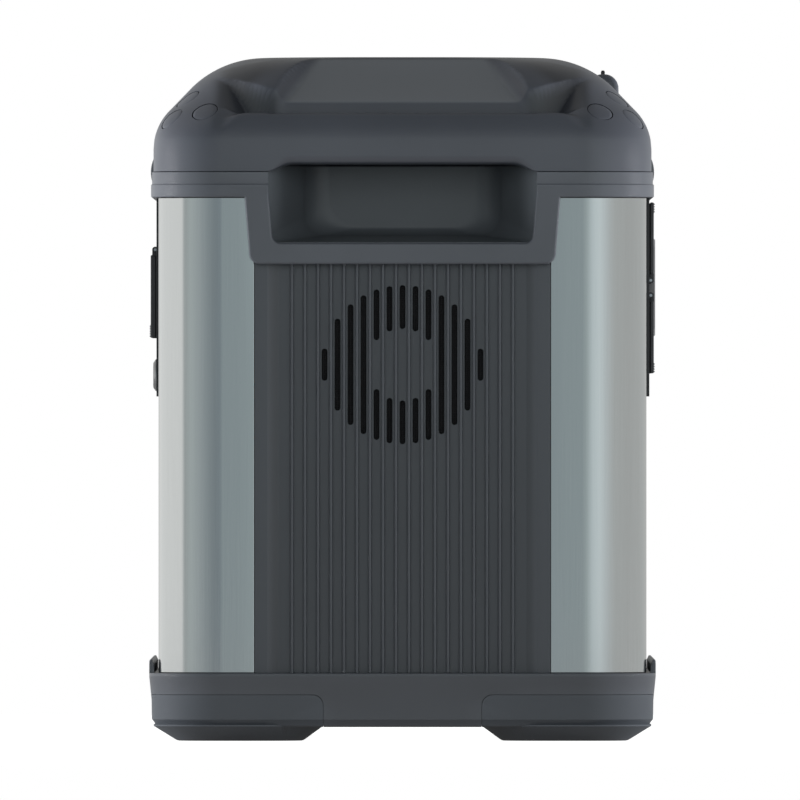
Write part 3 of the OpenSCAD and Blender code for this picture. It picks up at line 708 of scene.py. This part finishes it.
def collar_ring():
    """Ring under the lid with rounded edges and a thin shadow groove; the openings at each end for the handle
    are cut from it afterwards.
    """
    edge = 0.8
    band = -0.6                      # the band below the groove stands out by this much
    deep = 14                        # depth of the ring behind its face
    top = LID_Z - 0.2
    profile = [(deep, COLLAR_Z)] + arc(band + edge, COLLAR_Z + edge, edge, 270, 180, 3)
    profile += [(band, GROOVE_Z), (0, GROOVE_Z + 0.7)]
    profile += [(0, top - 0.4), (0.15, top - 0.1), (0.4, top), (deep, top)]
    rings = [at_height(round_rect(COLLAR_HL - inset, COLLAR_HW - inset, 39.5 - min(inset, deep), 24, 4, 4), z)
             for inset, z in profile]
    points, faces = loft(rings, cap_first=False, cap_last=False)
    n = len(rings[0])
    last = (len(rings) - 1) * n
    faces += [(i, last + i, last + (i + 1) % n, (i + 1) % n) for i in range(n)]
    return points, faces


FRAME_Z = 267.0                      # lower edge of a handle surround
MOUTH_Z = 279.0                      # lower edge of the opening in it


def surround():
    """U-shaped plate round the handle recess, as an outline in (y, z)."""
    left = [(-88.8, COLLAR_Z + 4), (-86, 275)] + arc(-79.5, FRAME_Z + 6.5, 6.5, 180, 270, 8)
    inner = [(75.0, 308), (73.2, 285)] + arc(68.5, MOUTH_Z + 4.5, 4.5, 0, -90, 6)
    right = [(-y, z) for y, z in reversed(left)]
    inner_left = [(-y, z) for y, z in reversed(inner)]
    top = GROOVE_Z - 0.5
    return left + right + [(88.8, top), (75.2, top)] + inner + inner_left + [(-75.2, top), (-88.8, top)]


collar_piece = piece("collar_and_surrounds", *collar_ring(), "lid_plastic", replaces=("collar",),
                     finish="collar")
boolean(collar_piece, new_object("mouth_gap", *both_ends(block(-HL - 5, -HL + 22, -75.3, 75.3, 290, 330))))
plate = new_object("surround_plates", *both_ends(prism_x(surround(), -COLLAR_HL - 0.6, -BODY_HL - 0.2)))
bevel(plate, 1.3, 4, 50)
apply_modifiers(plate)
boolean(collar_piece, plate, "UNION")

# ---- handle recesses


def cup():
    """Tapering recess: straight sides that turn into the back wall through a wide fillet."""
    # Depth from the mouth, how far the sides have come in, and how far the floor has risen
    stations = [(-1.5, 0.0, 0.0)]
    for i in range(9):
        t = i / 8
        stations.append((34 * t, 19 * t, 3.6 * t))
    for i in range(1, 13):
        a = math.radians(90 * i / 12)
        stations.append((34 + 13 * math.sin(a), 19 + 11.5 * (1 - math.cos(a)) + 4 * math.sin(a),
                         3.6 + 5.5 * (1 - math.cos(a))))
    rings = []
    for depth, come_in, rise in stations:
        half = 75.0 - come_in
        low = MOUTH_Z + 0.3 + rise
        radius = 4.5 + 0.35 * come_in
        outline = [(-half, LID_Z + 3), (-half, low + radius + 6)]
        outline += arc(-half + radius, low + radius, radius, 180, 270, 10)
        outline += arc(half - radius, low + radius, radius, 270, 360, 10)
        outline += [(half, low + radius + 6), (half, LID_Z + 3)]
        rings.append([(-BODY_HL - 2 + depth, y, z) for y, z in outline])
    return loft(rings, closed=False, cap_first=False, cap_last=True)


def cup_piece(name, part):
    """The recess as a walled piece, thickened away from the hand."""
    obj = piece(name, *part, "cup_plastic", sharp=60)
    thicken(obj, SHEET, sum(p.normal.z for p in obj.data.polygons if abs(p.normal.z) > 0.7) > 0, 60)
    return obj


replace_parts(cup_piece("left_handle_cup", cup()), "handle_cups")
cup_piece("right_handle_cup", mirrored(cup()))

# ---- ribbed end panels

VENT_Z = 210.8
VENT_R = 44.6
BLANK_R = 20.0                       # the middle of the vent has no slots
SLOT_HALF = 1.65
FINS = 18
PITCH = 7.28                         # of the fins and of the slots between them


def stadium(y, z0, z1, half):
    """Upright slot with rounded ends, as an outline in (y, z)."""
    z0, z1 = z0 + half, max(z1 - half, z0 + half + 0.5)
    return arc(y, z1, half, 0, 180, 8) + arc(y, z0, half, 180, 360, 8)


def vent_cutters():
    """Upright slots that fill a circle, broken by the blank in its middle."""
    slots = []
    last = int(VENT_R // PITCH)
    for i in range(-last, last + 1):
        y = i * PITCH
        half = math.sqrt(VENT_R ** 2 - y ** 2)
        if abs(y) < BLANK_R:
            hub = math.sqrt(BLANK_R ** 2 - y ** 2)
            slots += [(y, VENT_Z + hub, VENT_Z + half), (y, VENT_Z - half, VENT_Z - hub)]
        else:
            slots.append((y, VENT_Z - half, VENT_Z + half))
    return joined(*[prism_x(stadium(*slot, SLOT_HALF), -BODY_HL - 3, -BODY_HL + 14) for slot in slots])


def end_panel(name, node, sign):
    """Panel with a bevelled border, a vent and ribs in its sunk field."""
    x = -BODY_HL
    low, top = panel_low.z, panel_high.z
    # Plan section: border, bevel down to the recessed field, and the back
    half = [(x + 8, -PANEL_HW), (x + 0.5, -PANEL_HW), (x + 0.15, -PANEL_HW + 0.15), (x, -PANEL_HW + 0.5),
            (x, -75.9), (x + 0.25, -75.2), (x + 2.75, -69.8), (x + 3, -69.2)]
    outer = half + [(a, -b) for a, b in reversed(half)]
    section = outer + [(x + 8, 78), (x + 5.4, 78), (x + 5.4, -78), (x + 8, -78)]
    panel = prism_z(section, low, top)
    cut = vent_cutters()
    fins = []
    for i in range(FINS):
        y = (i - (FINS - 1) / 2) * PITCH
        rib = [(x + 3.2, y - 1.15), (x + 1.5, y - 1.0)]
        rib += arc(x + 1.35, y, 0.95, 270, 90, 6)
        rib += [(x + 1.5, y + 1.0), (x + 3.2, y + 1.15)]
        fins.append(prism_z(rib, low, top - 0.1))
    fins = joined(*fins)
    if sign > 0:
        panel, cut, fins = mirrored(panel), mirrored(cut), mirrored(fins)
    obj = piece(name, *panel, "base_plastic", replaces=(node,), sharp=25)
    boolean(obj, new_object("vent_slots", *cut), sharp=25)
    piece(name + "_fins", *fins, "base_plastic", sharp=40)


end_panel("left_panel", "left_end_panel", -1)
end_panel("right_panel", "right_end_panel", 1)

# ---- tray and feet

TRAY_TOP = 38.0
FOOT_TOP = 25.8
FOOT_X = 116.0                       # a foot starts here along the length
FOOT_Y = 44.5                        # and here along the width
SOLE_X = 162                         # middle of a sole
SOLE_Y = 91


def tray_shell():
    """Open tray: rounded rings up the outside, over the rim and down the inside."""
    outside = [(14.5, 7.8), (5.5, 7.8), (3.6, 8.6), (2.9, 10.2), (1.5, 12), (1.3, 23), (0.3, 33), (0, 36),
               (0, TRAY_TOP - 0.9), (0.25, TRAY_TOP - 0.25), (0.9, TRAY_TOP)]
    inside = [(10.3, TRAY_TOP), (10.8, TRAY_TOP - 0.3), (11, TRAY_TOP - 1), (11, 11), (16, 11)]
    return loft([at_height(round_rect(TRAY_HL - inset, TRAY_HW - inset, 41 - min(inset, 25), 22, 6, 6), z)
                 for inset, z in outside + inside])


def side_lip(side):
    """Raised lip along a long side, with a slanted inner edge and ramped ends."""
    y = side * TRAY_HW
    rings = []
    for x, top in ((-170, 38.5), (-169, 44), (-167, 45.4), (167, 45.4), (169, 44), (170, 38.5)):
        section = [(y, 36), (y, top - 0.8), (y - side * 0.4, top - 0.15), (y - side * 0.9, top),
                   (y - side * 1.6, top), (y - side * 2.8, top - 2.4 if top > 40 else top - 0.5),
                   (y - side * 2.8, 36)]
        rings.append([(x, a, b) for a, b in section])
    return loft(rings)


def foot_cutter(grow):
    """The space of the four feet: blocks with a rounded upper inner edge."""
    parts = []
    radius = 6
    top = FOOT_TOP + grow
    edge = [(0, -20)] + arc(radius, top - radius, radius, 180, 90, 6)
    for sx, sy in CORNERS:
        rings = []
        for inset, z in edge:
            x0 = sx * (FOOT_X - grow + inset)
            y0 = sy * (FOOT_Y - grow + inset)
            rings.append([(x0, y0, z), (sx * 230, y0, z), (sx * 230, sy * 160, z), (x0, sy * 160, z)])
        parts.append(loft(rings))
    return joined(*parts)


def soles():
    """Sole blocks: wide at the tray, sloping in to the flat that stands on the ground."""
    parts = []
    # Centre, half sizes, corner radius and height of each ring
    steps = [(SOLE_X + 1, SOLE_Y + 1, 46.4, 47.6, 34, 9.0), (SOLE_X + 1, SOLE_Y + 1, 46.4, 47.6, 34, 8.2),
             (SOLE_X + 0.1, SOLE_Y + 0.1, 36.2, 36.9, 22, 1.1), (SOLE_X, SOLE_Y, 35.0, 35.6, 21, 0.3),
             (SOLE_X, SOLE_Y, 34.0, 34.5, 20, 0.0)]
    for sx, sy in CORNERS:
        rings = [[(sx * x, sy * y, z) for x, y in round_rect(hx, hy, r, 10, 3, 3, cx, cy)]
                 for cx, cy, hx, hy, r, z in steps]
        parts.append(loft(rings))
    return joined(*parts)


def seam_core():
    """Everything deeper than the tray's skin. The seam round a foot stops at it, so no light gets through."""
    inset = 4.2
    return prism_z(round_rect(TRAY_HL - inset, TRAY_HW - inset, 37, 22, 6, 6), 9.2, 60)


def screw_wells():
    """Recess and clearance hole for the screw in each sole."""
    up = Vector((0, 0, 1))
    steps = [(5, -1), (5, 3), (2.6, 3), (2.6, 30)]
    return joined(*[loft(disc_rings(Vector((sx * SOLE_X, sy * SOLE_Y, 0)), up, steps)) for sx, sy in CORNERS])


tray = piece("tray", *tray_shell(), "base_plastic", replaces=("base_tray",), finish="tray")
feet = piece("rubber_feet", *tray_shell(), "foot_rubber", replaces=("corner_feet",))
seam = new_object("foot_seams", *foot_cutter(0.25))
boolean(seam, new_object("seam_core", *seam_core()))
boolean(tray, new_object("foot_space", *foot_cutter(0.02)))
boolean(tray, seam)
boolean(feet, new_object("foot_blocks", *foot_cutter(0)), "INTERSECT")
boolean(feet, new_object("sole_blocks", *soles()), "UNION")
boolean(feet, new_object("screw_wells", *screw_wells()))
for lip_name, side in (("tray_lip_front", -1), ("tray_lip_rear", 1)):
    piece(lip_name, *side_lip(side), "base_plastic", sharp=30, finish="tray")

# ---- covers, display and controls

SPINE_Z = 254.0                      # height of the spine between the upper and lower covers
BANK_X = 101.0                       # middle of a bank of sockets
AXIS_Y = FASCIA + 0.9                # hinge axes
WINDOW_Z = 254.5                     # middle of the display
MARK_Y = (-141.9, -141.7)            # from the front of the lit marks to just inside the lens


def rod_x(x0, x1, y, z, r, count=20, rim=0.3):
    """Rod along X with rounded rims."""
    steps = [(x0, r - rim), (x0 + rim * 0.4, r - rim * 0.25), (x0 + rim, r),
             (x1 - rim, r), (x1 - rim * 0.4, r - rim * 0.25), (x1, r - rim)]
    return loft([[(x, y + a, z + b) for a, b in circle(radius, count)] for x, radius in steps])


def turned(profile, x, z, count=48):
    """Solid of revolution about a line along Y, from (y, radius) pairs."""
    return loft([[(x + a, y, z + b) for a, b in circle(radius, count)] for y, radius in profile])


def cover(name, node, body, side, x, half, thick, axis_z, near, far, ribs, rib_r, plug):
    """Hinged rubber cover: rounded plate with a sunk panel, knurled grip, knuckles and a plug rim behind.
    It reaches from near, beside its axis, to far. The plug rim's three insets are from ends, near and far."""
    way = 1 if far > near else -1
    back = FASCIA + 0.5
    front = back + thick
    grip = 1.4 * ribs + 1.6

    def outline(y, ends, at_near, at_far, radius):
        low, high = sorted((near + way * at_near, far - way * at_far))
        ring = round_rect(half - ends, (high - low) / 2, radius, 6, 2, 2, x, (low + high) / 2)
        return [(a, side * y, b) for a, b in ring]

    parts = [loft([outline(back, 0.5, 0.5, 0.5, 1.6), outline(back + 0.4, 0, 0, 0, 2),
                   outline(front - 0.6, 0, 0, 0, 2), outline(front - 0.2, 0.15, 0.15, 0.15, 1.9),
                   outline(front, 0.6, 0.6, 0.6, 1.6), outline(front, 2.6, 2.2, grip, 1.6),
                   outline(front - 0.45, 3.0, 2.6, grip + 0.4, 1.2)])]
    for k in range(ribs):
        parts.append(rod_x(x - half + 8, x + half - 8, side * front, far - way * (1 + 1.4 * k), rib_r, 12))
    for start in (3, 1 - half):
        x0, x1 = x + start, x + start + half - 4
        parts.append(rod_x(x0, x1, side * AXIS_Y, axis_z, 1.75, 28))
        low, high = sorted((axis_z, near + way * 0.6))
        inner, outer = sorted((side * back, side * (back + 2.1)))
        parts.append(block(x0, x1, inner, outer, low, high))
    ends, at_near, at_far = plug
    rims = [(back + 0.2, 0), (back - 1.2, 0), (back - 1.6, 0.4), (back - 1.6, 1.2), (back - 1.2, 1.6),
            (back + 0.2, 1.6), (back + 0.2, 0)]
    parts.append(loft([outline(y, ends + grow, at_near + grow, at_far + grow, 3) for y, grow in rims],
                      cap_first=False, cap_last=False))
    piece(name, *joined(*parts), "flap_rubber", body, replaces=(node,), sharp=40)


for bank, centre in (("ac", BANK_X), ("dc", -BANK_X)):
    for level, way, far_z in (("upper", 1, 302), ("lower", -1, 206)):
        cover(f"{bank}_{level}_socket_cover", f"{bank}_flap_{level}", f"{bank}_{level}_cover", side=-1,
              x=centre, half=49, thick=2.1, axis_z=SPINE_Z + way * 4.2, near=SPINE_Z + way * 7.2, far=far_z,
              ribs=4, rib_r=0.55, plug=(7.2, 3.2, 7.4))
cover("input_port_cover", "input_flap", "input_cover", side=1, x=0, half=60, thick=3.0, axis_z=275.8,
      near=272.8, far=226, ribs=5, rib_r=0.6, plug=(7.4, 6.2, 9.4))


def bezel():
    """Chamfered frame round the display, sloping in to its window."""

    def ring(y, hx, low, high, chamfer):
        return [(a, y, b) for a, b in round_rect(hx, (high - low) / 2, chamfer, 1, 2, 2, 0, (low + high) / 2)]

    face = -FASCIA - 4.1
    back = -FASCIA - 0.1
    steps = [(back, 0.0), (face + 0.9, 0.0), (face + 0.3, 0.3), (face, 0.9)]
    rings = [ring(y, 46 - inset, 227 + inset, 282 - inset, 4) for y, inset in steps]
    for y, grow in ((face, 1.6), (face + 0.2, 1.3), (face + 1.3, 0.0), (back, 0.0)):
        rings.append(ring(y, 38 + grow, 235 - grow, 274 + grow, 1.2))
    rings.append(ring(back, 46, 227, 282, 4))
    return loft(rings, cap_first=False, cap_last=False)


def lens_slab():
    """Window of the display, with rounded rims."""
    rings = []
    for y, inset in ((-139.2, 0.3), (-139.5, 0), (-141.5, 0), (-141.72, 0.1), (-141.8, 0.35)):
        outline = round_rect(37.8 - inset, 19.3 - inset, 1.4, 5, 2, 2, 0, WINDOW_Z)
        rings.append([(x, y, z) for x, z in outline])
    return loft(rings)


SEGMENTS = {"0": "abcdef", "2": "abged", "5": "afgcd", "8": "abcdefg"}


def digit(mark, x, z, w, h):
    """Seven-segment figure, x growing to the right of someone facing the display."""
    t = 0.12 * h
    bars = {"a": (0, w, h - t, h), "g": (0, w, (h - t) / 2, (h + t) / 2), "d": (0, w, 0, t),
            "f": (0, t, h / 2, h), "b": (w - t, w, h / 2, h),
            "e": (0, t, 0, h / 2), "c": (w - t, w, 0, h / 2)}
    parts = []
    for key in SEGMENTS[mark]:
        x0, x1, z0, z1 = bars[key]
        gap = 0.12 * t
        parts.append(block(x + x0 + gap, x + x1 - gap, *MARK_Y, z + z0 + gap, z + z1 - gap))
    return joined(*parts)


def display_marks():
    """Charge ring with a two-figure level in it, and a figure and bar scale on each side."""
    parts = []
    count = 24
    lit = 21                         # of the ring's segments
    for i in range(lit):
        a0 = math.pi / 2 - 2 * math.pi * (i + 0.12) / count
        a1 = math.pi / 2 - 2 * math.pi * (i + 0.88) / count
        corners = [(12.2, a0), (14.4, a0), (14.4, a1), (12.2, a1)]
        parts.append(loft([[(r * math.cos(a), y, WINDOW_Z + r * math.sin(a)) for r, a in corners]
                           for y in MARK_Y]))
    for index, mark in enumerate("82"):
        parts.append(digit(mark, -7.6 + 8.2 * index, 249.5, 6.6, 10.5))
    for side_x, marks in ((-34, "250"), (20, "085")):
        for index, mark in enumerate(marks):
            parts.append(digit(mark, side_x + 4.9 * index, 258, 3.9, 6.4))
        for k in range(7):
            parts.append(block(side_x + 2 * k, side_x + 2 * k + 1.4, *MARK_Y, 244, 246.2 + 0.35 * k))
    return joined(*parts)


piece("display_frame", *bezel(), "base_plastic", replaces=("display_bezel",), finish="bezel")
piece("display_glass", *lens_slab(), "lens", replaces=("display_lens",))
piece("display_marks", *display_marks(), "lens", finish="segments")


def push_button(x):
    """Round key with a dished top, its stem and the flange that keeps it in."""
    profile = [(-139.45, 0.01), (-139.5, 2.5), (-139.62, 4.4), (-139.8, 5.4), (-139.75, 5.9), (-139.5, 6.3),
               (-139.1, 6.5), (-134.6, 6.5), (-134.6, 3.0), (-131.4, 3.0), (-131.4, 8.0), (-130.2, 8.0)]
    return turned(profile, x, 213)


for key, x in (("power", 0), ("ac", 26), ("dc", -26)):
    piece(key + "_push_button", *push_button(x), "black_plastic", key + "_key", replaces=(key + "_button",),
          finish="bezel")
dome = [(126.6, 4.6), (127.0, 5), (134.4, 5), (134.6, 5.2), (134.6, 8.8), (134.8, 9), (138.9, 9),
        (139.2, 8.9), (140.35, 7.3), (140.55, 6.8), (140.6, 6.2), (140.6, 0.01)]
piece("reset_push_button", *turned(dome, -66, 205, 64), "button_metal", "reset_key",
      replaces=("reset_button",))


def clip(side):
    """Lens-shaped trim over the seam, let into the lid."""
    back, front, middle_z, radius = 137.5, 142.1, 319.6, 19
    section = arc(front - radius, middle_z, radius, -24.5, 24.5, 14) + [(back, 326.5), (back, 312.7)]
    rings = []
    for x, size in ((-45, 0.6), (-44.7, 0.85), (-44, 1), (44, 1), (44.7, 0.85), (45, 0.6)):
        rings.append([(x, side * (back + (y - back) * size), middle_z + (z - middle_z) * (0.94 + 0.06 * size))
                      for y, z in section])
    return loft(rings)


piece("seam_trims", *joined(clip(1), clip(-1)), "base_plastic", replaces=("side_clips",))

# ---- pod on the front shoulder

POD_X = -70.0
KNOB_Y = -113.0


def pod_dome():
    """Rounded housing that grows out of the lid, from rings that draw in towards its top."""
    # Height, half length, the two sides in Y and the corner radius
    steps = [(350, 15, -121.9, -109, 2.6), (362, 15, -121.9, -108.5, 2.6), (367.9, 14.9, -121.7, -108, 2.6),
             (370.3, 14.6, -120.9, -107.8, 2.7), (371.9, 14.2, -119.8, -107.8, 2.9),
             (373.3, 13.3, -118.3, -108.4, 3), (374.2, 12, -116.6, -109.8, 2.6),
             (374.5, 10.8, -115.4, -111, 1.9), (374.6, 9.6, -114.5, -111.7, 1.2)]
    return loft([at_height(round_rect(hx, (y1 - y0) / 2, r, 6, 3, 3, POD_X, (y0 + y1) / 2), z)
                 for z, hx, y0, y1, r in steps])


def knob():
    """Slide knob with a ridged top."""
    last = 16
    rings = []
    for k in range(last + 1):
        peak = 376.8 - 0.45 * (k % 2) - (0.5 if k in (0, last) else 0)
        section = [(-1.1, 372.3), (-1.1, 376.0), (-0.7, peak), (0.7, peak), (1.1, 376.0), (1.1, 372.3)]
        rings.append([(POD_X - 4 + 0.5 * k, KNOB_Y + y, z) for y, z in section])
    return loft(rings)


pod = piece("lamp_switch_pod", *pod_dome(), "lid_plastic", replaces=("shoulder_pod",), sharp=45)
pod_slot = block(POD_X - 7.3, POD_X + 7.3, KNOB_Y - 1.2, KNOB_Y + 1.2, 372.2, 380)
boolean(pod, new_object("pod_slot", *pod_slot), sharp=45)
piece("pod_slide_knob", *knob(), "black_plastic", "pod_slider", replaces=("pod_switch",), sharp=25)

# ---- liners of the socket and input wells

LINER_BACK = 129.5
LINER_FLOOR = 131.0                  # the sockets stand 1.6 mm proud of this
LINER_FRONT = 136.5


def liner(name, side, x, half, z0, z1, tiles):
    """Shallow tray behind a well, cut out for the sockets; tiles are (x, z, width, height)."""

    def deep(x0, x1, y0, y1, low, high):
        return block(x0, x1, *sorted((side * y0, side * y1)), low, high)

    wall = 1.2
    fit = 0.2                        # the holes grip the sockets by this much
    outer = deep(x - half - wall, x + half + wall, LINER_BACK, LINER_FRONT, z0 - wall, z1 + wall)
    obj = piece(name, *outer, "fascia_plastic", sharp=30)
    boolean(obj, new_object("well", *deep(x - half, x + half, LINER_FLOOR, 140, z0, z1)), sharp=30)
    holes = [deep(tx - w / 2 + fit, tx + w / 2 - fit, 120, 140, tz - h / 2 + fit, tz + h / 2 - fit)
             for tx, tz, w, h in tiles]
    boolean(obj, new_object("tile_holes", *joined(*holes)), sharp=30)
    bevel(obj, 0.4, 2, 40)


AC_TILES = [(BANK_X + x, 26, 30) for x in (-28, 0, 28)]
DC_TILES = [(-BANK_X + x, 16, 26) for x in (-30, -10, 10, 30)]
USB_TILES = [(-BANK_X + x, 14, 26) for x in (-34, -18, -2)] + [(-BANK_X + 25, 30, 30)]
for name, x, way, row in (("ac_upper", BANK_X, 1, AC_TILES), ("ac_lower", BANK_X, -1, AC_TILES),
                          ("dc_upper", -BANK_X, 1, USB_TILES), ("dc_lower", -BANK_X, -1, DC_TILES)):
    well_z = sorted((SPINE_Z + way * 9, SPINE_Z + way * 42))
    liner(name + "_well_liner", -1, x, 43, *well_z, [(tx, SPINE_Z + way * 25.5, w, h) for tx, w, h in row])
liner("input_well_liner", 1, 0, 54, 234, 267.8, [(28, 251, 28, 22), (-24, 251, 32, 18)])

# ---- rounded edges on the fascias and sockets

SOCKET_NODES = ("ac_sockets", "dc_sockets", "usb_ports", "car_socket", "ac_inlet", "dc_inlet")
for node_name in ("front_fascia", "rear_fascia") + SOCKET_NODES:
    node_object = frame["nodes"][node_name]
    weld = node_object.modifiers.new("weld", "WELD")
    weld.merge_threshold = 0.00001
    bevel(node_object, 0.5 if node_name in SOCKET_NODES else 0.45, 2, 40)
    node_object.modifiers.new("face_weighted_normals", "WEIGHTED_NORMAL").keep_sharp = True

# Large flat faces keep their own direction where they meet a rounded edge
for obj in PIECES:
    obj.modifiers.new("face_weighted_normals", "WEIGHTED_NORMAL").keep_sharp = True

# ---- stage, light and camera


def studio_world():
    """Surroundings that look white and light the object with a tone that goes by heading."""
    world = bpy.data.worlds.new("studio")
    bpy.context.scene.world = world
    world.use_nodes = True
    world.node_tree.nodes.clear()
    g = Graph(world.node_tree)
    split = g.add("ShaderNodeSeparateXYZ")
    g.link(g.add("ShaderNodeTexCoord").outputs["Generated"], split.inputs[0])
    # Heading from -X, positive towards +Y, as 0 to 1 over -180 to 180 degrees
    heading = g.calc("ARCTAN2", split.outputs["Y"], g.calc("MULTIPLY", split.outputs["X"], -1))
    # Heading in degrees, and how the aluminium looks where it reflects that heading
    stops = [(-180, (165, 165, 164)), (-140, (164, 166, 165)), (-90, (160, 162, 161)), (-60, (163, 166, 165)),
             (-46, (174, 180, 181)), (-31, (190, 199, 201)), (-18, (180, 190, 192)), (-7, (146, 157, 158)),
             (-1, (138, 149, 151)), (4, (116, 126, 131)), (14, (117, 126, 130)), (26, (128, 137, 140)),
             (41, (144, 152, 154)), (60, (158, 166, 166)), (73, (146, 152, 152)), (78, (203, 204, 203)),
             (150, (203, 204, 203)), (180, (165, 165, 164))]
    gain = 1.45                      # the aluminium reflects only part of what it faces
    tone = g.ramp(g.remap(heading, -math.pi, math.pi),
                  [((degrees + 180) / 360, shade(lin(*rgb), gain)) for degrees, rgb in stops])
    # Darker towards the zenith and towards the ground
    strength = g.remap(g.calc("ABSOLUTE", split.outputs["Z"]), 0, 0.6, 1.0, 0.28)
    lit = g.add("ShaderNodeBackground")
    g.link(tone, lit.inputs["Color"])
    g.link(strength, lit.inputs["Strength"])
    seen = g.add("ShaderNodeBackground", Color=(1, 1, 1, 1))
    pick = g.add("ShaderNodeMixShader")
    g.link(g.add("ShaderNodeLightPath").outputs["Is Camera Ray"], pick.inputs["Fac"])
    g.link(lit.outputs[0], pick.inputs[1])
    g.link(seen.outputs[0], pick.inputs[2])
    g.link(pick.outputs[0], g.add("ShaderNodeOutputWorld").inputs["Surface"])


def area_light(name, place, aim, size, power):
    data = bpy.data.lights.new(name, "AREA")
    data.shape = "DISK"
    data.size = size
    data.energy = power
    obj = bpy.data.objects.new(name, data)
    obj.location = place
    obj.rotation_euler = (Vector(aim) - Vector(place)).to_track_quat("-Z", "Y").to_euler()
    obj.visible_glossy = False
    bpy.context.scene.collection.objects.link(obj)


def floor():
    """Pale disc under the feet. It looks near white and shows a little in reflections, and gives no other
    light."""
    rings = [at_height(circle(radius, 96), -0.4) for radius in (1500, 1490, 900, 450, 150)]
    obj = new_object("floor", *loft(rings, cap_first=False))
    n = Surface("floor_pale")
    base = n.ramp(n.noise(3, 2), [(0.3, (0.27, 0.27, 0.27, 1)), (0.7, (0.3, 0.3, 0.3, 1))])
    n.link(base, n.bsdf.inputs["Base Color"])
    n.link(n.spread(n.noise(60, 2), 0.75, 0.85), n.bsdf.inputs["Roughness"])
    n.bsdf.inputs["Specular IOR Level"].default_value = 0.1
    n.bsdf.inputs["Emission Color"].default_value = (1, 1, 1, 1)
    path = n.add("ShaderNodeLightPath").outputs
    glow = n.calc("MAXIMUM", path["Is Camera Ray"], n.calc("MULTIPLY", path["Is Glossy Ray"], 0.15))
    n.link(glow, n.bsdf.inputs["Emission Strength"])
    obj.data.materials.append(n.material)


studio_world()
floor()
area_light("left", (0.0, 2.2, 0.12), (0, 0, 0.15), 1.1, 112)
area_light("right", (0.0, -2.2, 0.12), (0, 0, 0.15), 1.1, 108)
area_light("front", (-2.4, 0, 0.9), (0, 0, 0.2), 1.5, 16)

# A long lens from far off, level with the middle of the left end
camera_data = bpy.data.cameras.new("camera")
camera_data.lens = 1600
camera_data.sensor_width = 36
camera_data.clip_end = 1000
camera = bpy.data.objects.new("camera", camera_data)
camera.location = (-(0.210 + 19.911), 0.0014, 0.191)
camera.rotation_euler = (math.radians(90), 0, math.radians(-90))
bpy.context.scene.collection.objects.link(camera)
bpy.context.scene.camera = camera
bpy.context.scene.view_settings.view_transform = "Standard"
